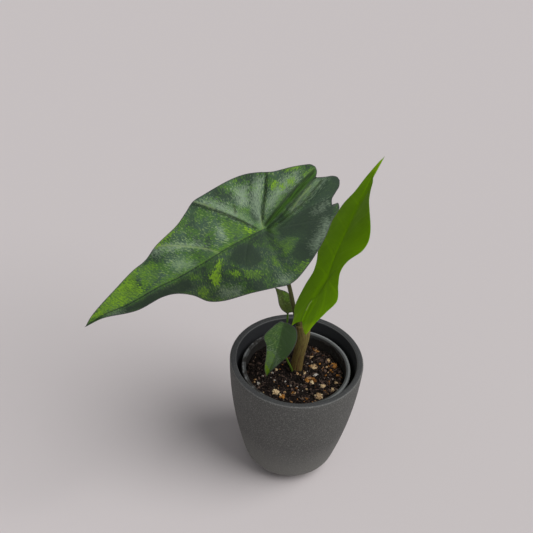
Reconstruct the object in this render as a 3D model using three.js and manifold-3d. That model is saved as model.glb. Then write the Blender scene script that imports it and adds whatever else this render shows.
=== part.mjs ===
// A young alocasia in its nursery pot, which stands in a smooth round outer pot.
// Millimetres, +Z up, origin at the centre of the outer pot's flat base; the plant is seen from -Y.
import * as THREE from "three";
import { mergeVertices } from "three/addons/utils/BufferGeometryUtils.js";
import Module from "manifold-3d";

const wasm = await Module();
wasm.setup();

// Driving dimensions

// Pieces that touch keep this gap.
const CLEARANCE = 0.3;

const OUTER_POT = {
  height: 113,
  rimRadius: 55,
  baseRadius: 32.5,
  bulge: 4.8,
  wall: 5.5,
  floor: 8.5,
  cornerRadius: 24.5,
  innerCornerRadius: 6,
  lipRound: 1.8,
};

const NURSERY_POT = {
  rimTop: 104,
  rimRadius: 45,
  rimWidth: 3.6,
  rimHeight: 7,
  rimEdgeRound: 0.9,
  wall: 1.2,
  baseRadius: 26,
  baseBevel: 1.5,
  drainHoles: 5,
  drainHoleRadius: 4,
  drainRingRadius: 17,
};

const SOIL = {
  level: 95,
  fallToBackRight: 1.3,
  lumpHeight: 1.1,
  rings: 9,
  spokes: 36,
  chips: 44,
  chipRadius: [1.4, 3.2],
  seed: 11,
};

// The largest pumice and bark chips: x, y and radius.
const LARGE_CHIPS = [
  [16, 31, 2.4],
  [27, 20, 1.8],
  [31, 15, 2.8],
  [14, 11, 3],
  [9, 3, 1.8],
  [12, -6, 4.4],
  [23, -11, 2],
  [31, -15, 2.2],
  [20, -24, 3.2],
  [-3, -24, 2.6],
  [-9, -27, 2.8],
  [-15, -24, 3],
  [-30, -15, 2.4],
];

// The sheathed stem: points of its axis and its half width and half depth there.
const STEM = {
  axis: [
    [1.2, 6.6, 84],
    [1.2, 6.6, 95],
    [1.6, 6.4, 109],
    [2.7, 6.2, 123],
    [3.6, 6, 136],
    [2.4, 6.2, 146],
  ],
  halfWidths: [4.2, 4.4, 4.3, 4.5, 5.3, 6.1],
  halfDepths: [3.1, 3.3, 3.4, 3.8, 4.1, 4.2],
  sides: 18,
  steps: 12,
};

// Leaf outlines are given in each blade's own plane, with the petiole's junction at 0,0,
// x towards the tip and y towards the blade's left edge as seen from its upper face.
// outer runs from the tip to the end of the lobe, inner from there to the notch between the lobes.
const LARGE_LEAF = {
  junction: [-35.3, -10, 255],
  tipDirection: [-0.84, -0.355, -0.41],
  faceDirection: [0, -0.756, 0.654],
  tip: [153, 0],
  notch: [-55, -16],
  left: {
    outer: [[153, 0], [138, 0.8], [112, 8.2], [90, 8.6], [80, 11.3], [70, 18.3], [62, 28], [52, 33],
      [30, 38], [14, 42.5], [0, 46], [-20, 39], [-40, 27], [-58, 8], [-66, 0], [-69, -6]],
    inner: [[-69, -6], [-67, -11], [-61, -13], [-55, -16]],
    tipFold: -1.1,
  },
  right: {
    outer: [[153, 0], [144, -5.3], [116, -15], [100, -20], [88, -22.3], [76, -28], [55, -34],
      [45, -39], [36, -43.8], [26, -44.7], [3, -45.4], [-9, -43.7], [-19, -40], [-28, -35.6],
      [-42, -32], [-53, -28.6], [-58, -24]],
    inner: [[-58, -24], [-58.5, -20], [-55, -16]],
    tipFold: 0,
  },
  fanStart: 0.6,
  crown: 10,
  droop: 0,
  lobeRise: -0.0022,
  fold: 0.16,
  curl: 0.0035,
  quilt: 1.4,
  panels: 8,
  edgeWave: 0.8,
  thickness: 0.9,
  ribDepth: 1.2,
  columns: [32, 4],
};

const BRIGHT_LEAF = {
  junction: [17.5, -6, 210],
  tipDirection: [0.284, 0.867, 0.409],
  faceDirection: [-0.74, -0.073, 0.669],
  tip: [123.5, 6],
  notch: [-22, 5.5],
  left: {
    outer: [[123.5, 6], [99, 13], [85, 18], [74, 28], [52, 33], [31, 30], [18, 23], [7, 21], [-4, 27],
      [-16, 30], [-26, 27], [-36, 19], [-47, 12]],
    inner: [[-47, 12], [-41, 6.5], [-34, 5], [-22, 5.5]],
    tipFold: 0,
  },
  right: {
    outer: [[123.5, 6], [101, 3], [80, -10], [52, -30], [34, -33], [21, -29], [11, -18], [2, -15],
      [-10, -18], [-25, -24], [-36, -19], [-47, -15], [-59, -15]],
    inner: [[-59, -15], [-51, -4], [-43, 2], [-34, 3.6], [-22, 5.5]],
    tipFold: 0.45,
  },
  fanStart: 0.6,
  crown: 0,
  droop: 0.0009,
  lobeRise: 0.0028,
  fold: 0.12,
  curl: 0.006,
  quilt: 1,
  panels: 7,
  edgeWave: 0.6,
  thickness: 0.8,
  ribDepth: 1,
  columns: [28, 6],
};

const SMALL_FRONT_LEAF = {
  junction: [-13.8, -8, 156],
  tipDirection: [-0.18, -0.09, -0.98],
  faceDirection: [-0.13, -0.98, 0.12],
  tip: [55, 0],
  notch: [-4.5, 0],
  left: {
    outer: [[55, 0], [45, 3], [35, 7], [25, 11.5], [16, 13.7], [6, 14], [-2, 10.5], [-5, 4]],
    inner: [[-5, 4], [-4.5, 0]],
    tipFold: 0,
  },
  right: {
    outer: [[55, 0], [46, -4], [32, -6], [21, -8.4], [13, -12.4], [4, -8.6], [-2, -5.2], [-5, -3]],
    inner: [[-5, -3], [-4.5, 0]],
    tipFold: 0,
  },
  fanStart: 0.7,
  crown: 3,
  droop: 0,
  lobeRise: 0,
  fold: 0.15,
  curl: 0.006,
  quilt: 0.5,
  panels: 4,
  edgeWave: 0.3,
  thickness: 0.8,
  ribDepth: 0.5,
  columns: [16, 2],
};

const SMALL_BACK_LEAF = {
  junction: [-10.2, 12, 154.5],
  tipDirection: [-0.5, 0.16, 0.85],
  faceDirection: [0.161, -0.954, 0.254],
  tip: [25, 0],
  notch: [-2, -0.3],
  left: {
    outer: [[25, 0], [18, 1.6], [10, 4], [4, 4], [-3, 2]],
    inner: [[-3, 2], [-2, -0.3]],
    tipFold: 0,
  },
  right: {
    outer: [[25, 0], [22, -3], [17, -7.5], [8, -8], [1, -6], [-3, -3]],
    inner: [[-3, -3], [-2, -0.3]],
    tipFold: 0,
  },
  fanStart: 0.7,
  crown: 2,
  droop: 0,
  lobeRise: 0,
  fold: 0.2,
  curl: 0,
  quilt: 0.3,
  panels: 3,
  edgeWave: 0.2,
  thickness: 0.8,
  ribDepth: 0.4,
  columns: [12, 2],
};

// Petioles: points of the axis up to the bend under the blade, and the radii at foot and top.
const PETIOLES = {
  petiole_large: {
    leaf: LARGE_LEAF,
    axis: [[-0.4, 6.1, 141], [-1.7, 6.2, 146], [-5.4, 6.5, 161], [-11.4, 7, 186], [-19, 7, 212], [-28, 3, 236]],
    radii: [1.8, 1.6],
    steps: 18,
  },
  petiole_bright: {
    leaf: BRIGHT_LEAF,
    axis: [[5.2, 6.3, 141], [6.2, 6.4, 147], [10.8, 5.5, 162], [16, 1.5, 184], [19.5, -3, 200]],
    radii: [1.8, 1.5],
    steps: 14,
  },
  petiole_small_front: {
    leaf: SMALL_FRONT_LEAF,
    axis: [[-3, 3, 88], [-3, 3, 96], [-9.5, 0, 116], [-12.5, 0, 138]],
    radii: [1, 0.9],
    steps: 14,
  },
  petiole_small_back: {
    leaf: SMALL_BACK_LEAF,
    axis: [[-11, 21, 88], [-11, 21, 97], [-10.5, 19, 120], [-10.2, 17, 143]],
    radii: [0.9, 0.8],
    steps: 14,
  },
};
const PETIOLE_SIDES = 10;

const COLOURS = {
  outerPot: 0x47484b,
  nurseryPot: 0x5b5a5c,
  soil: 0x2c241d,
  stem: 0x4a4322,
  petiole: 0x3d4a1f,
  mottledBlade: 0x4c6b35,
  brightBlade: 0x5f8f12,
  smallBlade: 0x2f4f33,
};

// Small helpers

function material(color, roughness, metalness = 0) {
  return new THREE.MeshStandardMaterial({ color, roughness, metalness });
}

function vector(point) {
  return new THREE.Vector3(...point);
}

function smoothStep(from, to, value) {
  const share = THREE.MathUtils.clamp((value - from) / (to - from), 0, 1);
  return share * share * (3 - 2 * share);
}

// A repeatable stream of numbers from 0 to 1.
function seededDraw(seed) {
  let state = seed;
  return () => {
    state = (state * 16807) % 2147483647;
    return state / 2147483647;
  };
}

// Points of a quarter round from one corner point to the next about a centre.
function arcPoints(centreX, centreY, radiusX, radiusY, fromDegrees, toDegrees, count) {
  const points = [];
  for (let i = 0; i <= count; i++) {
    const angle = THREE.MathUtils.degToRad(fromDegrees + ((toDegrees - fromDegrees) * i) / count);
    points.push(new THREE.Vector2(centreX + radiusX * Math.cos(angle), centreY + radiusY * Math.sin(angle)));
  }
  return points;
}

// A profile of radius and height, turned about the Z axis.
function turned(profile, segments) {
  return new THREE.LatheGeometry(profile, segments).rotateX(Math.PI / 2);
}

function solidFrom(geometry) {
  const bare = geometry.clone();
  bare.deleteAttribute("normal");
  bare.deleteAttribute("uv");
  const merged = mergeVertices(bare, 1e-4);
  return new wasm.Manifold(
    new wasm.Mesh({
      numProp: 3,
      vertProperties: merged.attributes.position.array,
      triVerts: new Uint32Array(merged.index.array),
    }),
  );
}

function geometryFrom(solid) {
  const mesh = solid.getMesh();
  const geometry = new THREE.BufferGeometry();
  geometry.setAttribute("position", new THREE.BufferAttribute(mesh.vertProperties, 3));
  geometry.setIndex(new THREE.BufferAttribute(mesh.triVerts, 1));
  geometry.computeVertexNormals();
  return geometry;
}

// A closed surface from a list of corner points, three for each triangle, without the empty ones.
function geometryFromTriangles(triangles) {
  const full = triangles.filter(
    ([a, b, c]) => a.distanceTo(b) > 1e-4 && b.distanceTo(c) > 1e-4 && c.distanceTo(a) > 1e-4,
  );
  const geometry = new THREE.BufferGeometry().setFromPoints(full.flat());
  geometry.computeVertexNormals();
  return geometry;
}

// A rod along a smooth curve; sectionAt gives the half width (along X) and half depth at a share of it.
function rod(curve, sectionAt, sides, steps) {
  const rings = [];
  for (let i = 0; i <= steps; i++) {
    const share = i / steps;
    const tangent = curve.getTangentAt(share);
    const depthAxis = new THREE.Vector3(0, 1, 0).cross(tangent).cross(tangent).negate();
    if (depthAxis.length() < 0.2) depthAxis.set(0, 0, 1).cross(tangent).cross(tangent).negate();
    depthAxis.normalize();
    const widthAxis = depthAxis.clone().cross(tangent).normalize();
    const [halfWidth, halfDepth] = sectionAt(share);
    const ring = [];
    for (let k = 0; k < sides; k++) {
      const angle = (2 * Math.PI * k) / sides;
      ring.push(
        curve
          .getPointAt(share)
          .addScaledVector(widthAxis, halfWidth * Math.cos(angle))
          .addScaledVector(depthAxis, halfDepth * Math.sin(angle)),
      );
    }
    rings.push(ring);
  }
  const triangles = [];
  for (let i = 0; i < steps; i++) {
    for (let k = 0; k < sides; k++) {
      const next = (k + 1) % sides;
      triangles.push([rings[i][k], rings[i][next], rings[i + 1][next]]);
      triangles.push([rings[i][k], rings[i + 1][next], rings[i + 1][k]]);
    }
  }
  const foot = curve.getPointAt(0);
  const head = curve.getPointAt(1);
  for (let k = 0; k < sides; k++) {
    const next = (k + 1) % sides;
    triangles.push([foot, rings[0][next], rings[0][k]]);
    triangles.push([head, rings[steps][k], rings[steps][next]]);
  }
  return geometryFromTriangles(triangles);
}

// Pots

function outerPotRadius(z) {
  const share = z / OUTER_POT.height;
  const cone = OUTER_POT.baseRadius + (OUTER_POT.rimRadius - OUTER_POT.baseRadius) * share;
  return cone + OUTER_POT.bulge * 4 * share * (1 - share);
}

function outerPot() {
  const { height, wall, floor, cornerRadius, innerCornerRadius, lipRound } = OUTER_POT;
  const wallLevels = [0.34, 0.5, 0.66, 0.82];
  const outerCornerX = outerPotRadius(cornerRadius) - cornerRadius;
  const innerCornerZ = floor + innerCornerRadius;
  const innerCornerX = outerPotRadius(innerCornerZ) - wall - innerCornerRadius;
  const lipZ = height - lipRound;
  const profile = [
    new THREE.Vector2(0, 0),
    ...arcPoints(outerCornerX, cornerRadius, cornerRadius, cornerRadius, -90, 0, 6),
    ...wallLevels.map((share) => new THREE.Vector2(outerPotRadius(share * height), share * height)),
    ...arcPoints(outerPotRadius(lipZ) - lipRound, lipZ, lipRound, lipRound, 0, 90, 3),
    ...arcPoints(outerPotRadius(lipZ) - wall + lipRound, lipZ, lipRound, lipRound, 90, 180, 3),
    ...wallLevels
      .toReversed()
      .map((share) => new THREE.Vector2(outerPotRadius(share * height) - wall, share * height)),
    ...arcPoints(innerCornerX, innerCornerZ, innerCornerRadius, innerCornerRadius, 0, -90, 4),
    new THREE.Vector2(0, floor),
  ];
  return turned(profile, 44);
}

// The nursery pot stands on the outer pot's floor.
const NURSERY_BASE_Z = OUTER_POT.floor + CLEARANCE;
const NURSERY_SHOULDER_Z = NURSERY_POT.rimTop - NURSERY_POT.rimHeight;
const NURSERY_SHOULDER_RADIUS = NURSERY_POT.rimRadius - NURSERY_POT.rimWidth + NURSERY_POT.wall;

function nurseryInnerRadius(z) {
  const share = (z - NURSERY_BASE_Z) / (NURSERY_SHOULDER_Z - NURSERY_BASE_Z);
  const outer = NURSERY_POT.baseRadius + (NURSERY_SHOULDER_RADIUS - NURSERY_POT.baseRadius) * Math.min(share, 1);
  return outer - NURSERY_POT.wall;
}

function nurseryPot() {
  const { rimTop, rimRadius, rimWidth, rimEdgeRound, wall, baseRadius, baseBevel } = NURSERY_POT;
  const edgeZ = rimTop - rimEdgeRound;
  const innerEdgeX = rimRadius - rimWidth + rimEdgeRound;
  const floorTop = NURSERY_BASE_Z + wall;
  const profile = [
    new THREE.Vector2(0, NURSERY_BASE_Z),
    new THREE.Vector2(baseRadius - baseBevel, NURSERY_BASE_Z),
    new THREE.Vector2(baseRadius, NURSERY_BASE_Z + baseBevel),
    new THREE.Vector2(NURSERY_SHOULDER_RADIUS, NURSERY_SHOULDER_Z),
    new THREE.Vector2(rimRadius - rimEdgeRound / 2, NURSERY_SHOULDER_Z),
    ...arcPoints(rimRadius - rimEdgeRound, edgeZ, rimEdgeRound, rimEdgeRound, 0, 90, 2),
    ...arcPoints(innerEdgeX, edgeZ, rimEdgeRound, rimEdgeRound, 90, 180, 2),
    new THREE.Vector2(NURSERY_SHOULDER_RADIUS - wall, NURSERY_SHOULDER_Z),
    new THREE.Vector2(baseRadius - wall - 0.5, floorTop + 0.5),
    new THREE.Vector2(baseRadius - wall - 1, floorTop),
    new THREE.Vector2(0, floorTop),
  ];
  let pot = solidFrom(turned(profile, 40));
  for (let i = 0; i < NURSERY_POT.drainHoles; i++) {
    const angle = (2 * Math.PI * i) / NURSERY_POT.drainHoles;
    const hole = new THREE.CylinderGeometry(NURSERY_POT.drainHoleRadius, NURSERY_POT.drainHoleRadius, 6, 14);
    hole.rotateX(Math.PI / 2);
    hole.translate(
      NURSERY_POT.drainRingRadius * Math.cos(angle),
      NURSERY_POT.drainRingRadius * Math.sin(angle),
      NURSERY_BASE_Z,
    );
    pot = pot.subtract(solidFrom(hole));
  }
  return geometryFrom(pot);
}

// Stem and petioles

function stemCurve() {
  return new THREE.CatmullRomCurve3(STEM.axis.map(vector));
}

function stemGeometry(extra = 0) {
  const last = STEM.halfWidths.length - 1;
  const sectionAt = (share) => {
    const place = share * last;
    const index = Math.min(Math.floor(place), last - 1);
    const mix = place - index;
    return [STEM.halfWidths, STEM.halfDepths].map(
      (sizes) => THREE.MathUtils.lerp(sizes[index], sizes[index + 1], mix) + extra,
    );
  };
  return rod(stemCurve(), sectionAt, STEM.sides, STEM.steps);
}

function bladeFrame(leaf) {
  const tipAxis = vector(leaf.tipDirection).normalize();
  const leftAxis = vector(leaf.faceDirection).cross(tipAxis).normalize();
  const faceAxis = tipAxis.clone().cross(leftAxis);
  return { tipAxis, leftAxis, faceAxis };
}

// The petiole comes up under its blade and ends square to it, a clearance below the midrib.
function petioleGeometry({ leaf, axis, radii, steps }, extra = 0) {
  const { faceAxis } = bladeFrame(leaf);
  const topGap = leaf.thickness / 2 + leaf.ribDepth + CLEARANCE;
  const top = vector(leaf.junction).addScaledVector(faceAxis, -topGap);
  const bend = top.clone().addScaledVector(faceAxis, -2.5 * radii[1]);
  const curve = new THREE.CatmullRomCurve3([...axis.map(vector), bend, top]);
  const sectionAt = (share) => {
    const radius = THREE.MathUtils.lerp(radii[0], radii[1], share) + extra;
    return [radius, radius];
  };
  return rod(curve, sectionAt, PETIOLE_SIDES, steps);
}

// A plain hole a clearance wider and deeper than what stands in it.
function socketFor(geometry) {
  return solidFrom(geometry).add(solidFrom(geometry.clone().translate(0, 0, -CLEARANCE)));
}

function stem() {
  let solid = solidFrom(stemGeometry());
  for (const name of ["petiole_large", "petiole_bright"]) {
    solid = solid.subtract(socketFor(petioleGeometry(PETIOLES[name], CLEARANCE)));
  }
  return geometryFrom(solid);
}

// Soil

function soilLevel(x, y) {
  const fall = (SOIL.fallToBackRight * (x + y)) / NURSERY_POT.rimRadius;
  const lumps =
    Math.sin(0.34 * x + 1.1) * Math.cos(0.29 * y - 0.4) + 0.6 * Math.sin(0.62 * x - 0.51 * y + 2);
  return SOIL.level - fall + 0.6 * SOIL.lumpHeight * lumps;
}

function soilBody() {
  const floorZ = NURSERY_BASE_Z + NURSERY_POT.wall + CLEARANCE;
  const floorRadius = nurseryInnerRadius(floorZ) - CLEARANCE - 1;
  const rings = [];
  for (let i = 1; i <= SOIL.rings; i++) {
    const ring = [];
    for (let k = 0; k < SOIL.spokes; k++) {
      const angle = (2 * Math.PI * k) / SOIL.spokes;
      const radius = ((nurseryInnerRadius(SOIL.level) - CLEARANCE - 0.3) * i) / SOIL.rings;
      const x = radius * Math.cos(angle);
      const y = radius * Math.sin(angle);
      ring.push(new THREE.Vector3(x, y, soilLevel(x, y)));
    }
    rings.push(ring);
  }
  const floorRing = rings[0].map((point, k) => {
    const angle = (2 * Math.PI * k) / SOIL.spokes;
    return new THREE.Vector3(floorRadius * Math.cos(angle), floorRadius * Math.sin(angle), floorZ);
  });
  const top = new THREE.Vector3(0, 0, soilLevel(0, 0));
  const bottom = new THREE.Vector3(0, 0, floorZ);
  const edge = rings[SOIL.rings - 1];
  const triangles = [];
  for (let k = 0; k < SOIL.spokes; k++) {
    const next = (k + 1) % SOIL.spokes;
    triangles.push([top, rings[0][k], rings[0][next]]);
    for (let i = 0; i + 1 < SOIL.rings; i++) {
      triangles.push([rings[i][k], rings[i + 1][k], rings[i + 1][next]]);
      triangles.push([rings[i][k], rings[i + 1][next], rings[i][next]]);
    }
    triangles.push([edge[k], floorRing[k], floorRing[next]]);
    triangles.push([edge[k], floorRing[next], edge[next]]);
    triangles.push([bottom, floorRing[next], floorRing[k]]);
  }
  return solidFrom(geometryFromTriangles(triangles));
}

// A rough chip, a little flat, sunk to about half its height.
function chip(x, y, radius, draw) {
  const geometry = new THREE.IcosahedronGeometry(radius, 0);
  geometry.scale(1, 0.7 + 0.25 * draw(), 0.55 + 0.2 * draw());
  geometry.rotateX(0.5 * (draw() - 0.5));
  geometry.rotateZ(2 * Math.PI * draw());
  geometry.translate(x, y, soilLevel(x, y) + 0.1 * radius);
  return solidFrom(geometry);
}

function soil() {
  const draw = seededDraw(SOIL.seed);
  const edgeRadius = nurseryInnerRadius(SOIL.level) - 1.5;
  const places = LARGE_CHIPS.map(([x, y, radius]) => ({ x, y, radius }));
  while (places.length < SOIL.chips) {
    const radius = THREE.MathUtils.lerp(SOIL.chipRadius[0], SOIL.chipRadius[1], draw() ** 2);
    const reach = (edgeRadius - radius) * Math.sqrt(draw());
    const angle = 2 * Math.PI * draw();
    const x = reach * Math.cos(angle);
    const y = reach * Math.sin(angle);
    const clear = places.every((other) => Math.hypot(x - other.x, y - other.y) > radius + other.radius);
    if (clear) places.push({ x, y, radius });
  }
  let solid = soilBody();
  for (const { x, y, radius } of places) solid = solid.add(chip(x, y, radius, draw));
  solid = solid.subtract(socketFor(stemGeometry(CLEARANCE)));
  for (const name of ["petiole_small_front", "petiole_small_back"]) {
    solid = solid.subtract(socketFor(petioleGeometry(PETIOLES[name], CLEARANCE)));
  }
  return geometryFrom(solid);
}

// Leaf blades

// The height of the blade's middle surface over its own plane, without the relief between veins.
function bladeHeight(leaf, x, y) {
  const along = x > 0
    ? leaf.crown * Math.sin(Math.PI * Math.min(x / leaf.tip[0], 1)) - leaf.droop * x * x
    : leaf.lobeRise * x * x;
  const tipFold = y > 0 ? leaf.left.tipFold : leaf.right.tipFold;
  const folded = tipFold === 0 ? 0 : smoothStep(0.15, 0.55, x / leaf.tip[0]);
  const slope = THREE.MathUtils.lerp(leaf.fold, tipFold, folded);
  const reach = Math.sqrt(y * y + 1) - 1;
  return along + slope * reach - leaf.curl * y * y * (1 - folded);
}

function bladeNormal(leaf, x, y) {
  const step = 0.5;
  const slopeX = (bladeHeight(leaf, x + step, y) - bladeHeight(leaf, x - step, y)) / (2 * step);
  const slopeY = (bladeHeight(leaf, x, y + step) - bladeHeight(leaf, x, y - step)) / (2 * step);
  return new THREE.Vector3(-slopeX, -slopeY, 1).normalize();
}

// Rows from the rib to the margin; the second one ends the raised rib underneath.
const BLADE_ROWS = [0, 0.07, 0.3, 0.54, 0.78, 1];

// Veins sweep towards the tip by this share of their length, and each margin has this many waves.
const VEIN_SWEEP = 0.07;
const MARGIN_WAVES = 2;

function smoothOutline(points, count) {
  const curve = new THREE.CatmullRomCurve3(points.map(([x, y]) => new THREE.Vector3(x, y, 0)), false, "centripetal");
  return curve.getSpacedPoints(count);
}

// Each column runs from its origin on the midrib, or on the line to the notch, out to the margin.
function bladeColumns(leaf, half) {
  const [outerCount, innerCount] = leaf.columns;
  const columns = smoothOutline(half.outer, outerCount).map((margin, i) => {
    const share = i / outerCount;
    const x = leaf.tip[0] * (1 - Math.min(share / leaf.fanStart, 1));
    const y = leaf.tip[1] * (x / leaf.tip[0]) ** 2;
    return { margin, origin: new THREE.Vector3(x, y, 0), share, rib: 1 - x / leaf.tip[0] };
  });
  smoothOutline(half.inner, innerCount).forEach((margin, i) => {
    const back = i / innerCount;
    if (i === 0) return;
    columns.push({
      margin,
      origin: new THREE.Vector3(leaf.notch[0] * back, leaf.notch[1] * back, 0),
      share: 1,
      rib: 1 - back,
    });
  });
  return columns;
}

function bladeGrid(leaf, half) {
  return bladeColumns(leaf, half).map(({ margin, origin, share, rib }) =>
    BLADE_ROWS.map((row) => {
      const point = origin.clone().lerp(margin, row);
      const swell = 4 * row * (1 - row);
      point.x += VEIN_SWEEP * swell * Math.sin(Math.PI * share) * origin.distanceTo(margin);
      point.z =
        bladeHeight(leaf, point.x, point.y) +
        leaf.quilt * swell * Math.sin(Math.PI * leaf.panels * share) ** 2 +
        leaf.edgeWave * row * row * Math.sin(2 * Math.PI * MARGIN_WAVES * share);
      const normal = bladeNormal(leaf, point.x, point.y);
      const below = leaf.thickness / 2 + (row === 0 ? leaf.ribDepth * rib : 0);
      return {
        top: point.clone().addScaledVector(normal, leaf.thickness / 2),
        bottom: point.clone().addScaledVector(normal, -below),
      };
    }),
  );
}

function bladeGeometry(leaf) {
  const triangles = [];
  for (const side of ["left", "right"]) {
    const grid = bladeGrid(leaf, leaf[side]);
    const push = (a, b, c) => triangles.push(side === "left" ? [a, b, c] : [a, c, b]);
    const last = BLADE_ROWS.length - 1;
    for (let i = 0; i + 1 < grid.length; i++) {
      for (let j = 0; j < last; j++) {
        const [a, b, c, d] = [grid[i][j], grid[i + 1][j], grid[i + 1][j + 1], grid[i][j + 1]];
        push(a.top, d.top, c.top);
        push(a.top, c.top, b.top);
        push(a.bottom, c.bottom, d.bottom);
        push(a.bottom, b.bottom, c.bottom);
      }
      const here = grid[i][last];
      const next = grid[i + 1][last];
      push(here.top, here.bottom, next.bottom);
      push(here.top, next.bottom, next.top);
    }
  }
  return geometryFromTriangles(triangles);
}

function bladeMesh(name, leaf, bladeMaterial) {
  const mesh = new THREE.Mesh(bladeGeometry(leaf), bladeMaterial);
  const { tipAxis, leftAxis, faceAxis } = bladeFrame(leaf);
  mesh.name = name;
  mesh.position.set(...leaf.junction);
  mesh.quaternion.setFromRotationMatrix(new THREE.Matrix4().makeBasis(tipAxis, leftAxis, faceAxis));
  return mesh;
}

function namedMesh(name, geometry, meshMaterial) {
  const mesh = new THREE.Mesh(geometry, meshMaterial);
  mesh.name = name;
  return mesh;
}

// The plant in its pots

const pots = new THREE.Group();
pots.add(namedMesh("outer_pot", outerPot(), material(COLOURS.outerPot, 0.75)));
pots.add(namedMesh("nursery_pot", nurseryPot(), material(COLOURS.nurseryPot, 0.45)));
pots.add(namedMesh("soil", soil(), material(COLOURS.soil, 0.95)));

const plant = new THREE.Group();
plant.add(namedMesh("stem", stem(), material(COLOURS.stem, 0.55)));
for (const [name, petiole] of Object.entries(PETIOLES)) {
  plant.add(namedMesh(name, petioleGeometry(petiole), material(COLOURS.petiole, 0.5)));
}
plant.add(bladeMesh("blade_large", LARGE_LEAF, material(COLOURS.mottledBlade, 0.45)));
plant.add(bladeMesh("blade_bright", BRIGHT_LEAF, material(COLOURS.brightBlade, 0.4)));
plant.add(bladeMesh("blade_small_front", SMALL_FRONT_LEAF, material(COLOURS.smallBlade, 0.35)));
plant.add(bladeMesh("blade_small_back", SMALL_BACK_LEAF, material(COLOURS.smallBlade, 0.45)));

const pottedAlocasia = new THREE.Group();
pottedAlocasia.add(pots, plant);
export default pottedAlocasia;
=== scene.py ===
"""A young mottled alocasia in a nursery pot that stands in a smooth round dark outer pot.

Sizes in the tables are millimetres in the part's own frame, and Blender's objects are in metres.
"""

import math
import random

import bpy
import numpy as np
from bpy.props import FloatProperty, FloatVectorProperty, IntProperty, PointerProperty
from mathutils import Matrix, Vector, noise


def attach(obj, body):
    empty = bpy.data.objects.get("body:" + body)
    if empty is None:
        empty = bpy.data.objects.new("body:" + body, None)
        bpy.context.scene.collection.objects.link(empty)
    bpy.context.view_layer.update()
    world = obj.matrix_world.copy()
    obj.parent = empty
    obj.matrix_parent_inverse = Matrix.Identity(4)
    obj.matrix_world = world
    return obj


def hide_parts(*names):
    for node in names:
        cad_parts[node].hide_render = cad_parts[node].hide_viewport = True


bl_info = {
    "name": "Potted Alocasia",
    "version": (1, 0, 0),
    "blender": (4, 5, 0),
    "location": "View3D > Sidebar > Alocasia",
    "description": "Builds a young mottled alocasia in its nursery pot and outer pot",
    "category": "Add Mesh",
}

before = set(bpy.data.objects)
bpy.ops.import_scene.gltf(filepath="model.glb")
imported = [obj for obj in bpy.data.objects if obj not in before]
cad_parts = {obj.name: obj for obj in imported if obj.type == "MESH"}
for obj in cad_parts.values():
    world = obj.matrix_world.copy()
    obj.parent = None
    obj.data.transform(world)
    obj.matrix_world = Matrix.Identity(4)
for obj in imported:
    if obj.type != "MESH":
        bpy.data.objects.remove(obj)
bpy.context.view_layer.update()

MM = 0.001

# Pots and potting mix, in millimetres

OUTER_POT = {"height": 113, "rim": 55, "base": 33.7, "bulge": 4.3, "wall": 5.5, "floor": 8.5}
OUTER_CORNER = {"outside": 23, "inside": 6, "lip": 1.8}
NURSERY_POT = {
    "base_z": 8.8, "top_z": 104, "rim": 45, "rim_width": 3.6, "rim_height": 7, "wall": 1.2, "base": 26,
}
DRAIN_HOLES = {"count": 5, "radius": 4, "ring": 17}
MIX = {"level": 95, "fall": 1.3, "lumps": 0.66, "floor_z": 10.3}

# Chips that can be told apart on the mix: kind, x, y and radius.
PLACED_CHIPS = [
    ("bark", 17, 31, 2.0), ("pumice", 27, 21, 1.7), ("bark", 32, 14, 2.9), ("pumice", 15, 11, 3.1),
    ("pumice", 8, 3, 1.8), ("perlite", 17, 1, 2.1), ("bark", 12.5, -6, 4.3), ("pumice", 23, -11, 2.3),
    ("pumice", 31, -14, 1.9), ("pumice", 20, -24, 3.2), ("bark", -1, -23, 2), ("bark", -10, -27.5, 2.6),
    ("pumice", -15.5, -23.5, 2.8), ("perlite", -30, -15, 1.5), ("pumice", 34, -6, 1.7),
    ("pumice", -16, 3, 1.6), ("perlite", -19, -1, 1.3), ("perlite", -17, -9, 1.1), ("pumice", -25, -24, 1),
    ("pumice", -8, -22, 1.1), ("perlite", 7, -6, 1), ("perlite", 14, -21, 0.9), ("perlite", 31, -1, 0.9),
    ("perlite", 3, -19, 0.7), ("perlite", 2, -14, 0.8), ("pumice", 10, -16, 1), ("perlite", -17, -19, 0.8),
    ("bark", -33, -10, 1.1), ("pumice", 23, 8, 1), ("pumice", 26, 12, 1.3), ("pumice", 1.5, 0.5, 1.4),
    ("pumice", 7, 12, 0.8), ("bark", 28, -5, 1.4), ("bark", 10, -28, 1.5), ("bark", 35, 3, 1.5),
    ("bark", 26, -19, 1.6), ("perlite", 27, 3, 0.8), ("bark", 20, 16, 1.3),
]

CHIP_FLATNESS = {"bark": 0.55, "pumice": 0.75, "perlite": 0.85}

# Where the stem and the two small stalks leave the mix: x, y and radius.
STALK_FEET = [(2, 6, 4.2), (-3.6, 4.8, 0.8), (-11, 21, 0.8)]

# The sheathed stem: points of its axis with the half width and half depth there.
STEM_AXIS = [(0.4, 6.6, 84), (0.4, 6.6, 95), (1.1, 6.4, 109), (2.7, 6.2, 123), (3.6, 6, 136), (2.4, 6.2, 146)]
STEM_HALF_WIDTHS = [5, 5.2, 5, 4.8, 5.3, 6.1]
STEM_HALF_DEPTHS = [3.1, 3.3, 3.4, 3.8, 4.1, 4.2]

# Leaves. x runs from the stalk's junction to the tip and y to the left edge seen from above.
# Outlines run from the tip to the end of the lobe, and from there to the notch between the lobes.
# Veins are listed from the tip to the lobe; a fold is a line with its height and half width.
# Lime patches have a strength; the areas of painted sheen and shade, deep and plain areas are outlines only.
# Lines of painted highlight and of painted shade follow ridges, folds and creases.

# What holds where a leaf's own table says nothing.
LEAF_DEFAULTS = {
    "fan_start": 0.7, "crown": 0, "droop": 0, "lobe_rise": 0, "curl": 0.006, "folds": [], "lime": [],
    "bloom": [], "highlight_lines": [], "shade_lines": [], "deep": [], "plain": [],
}

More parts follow.
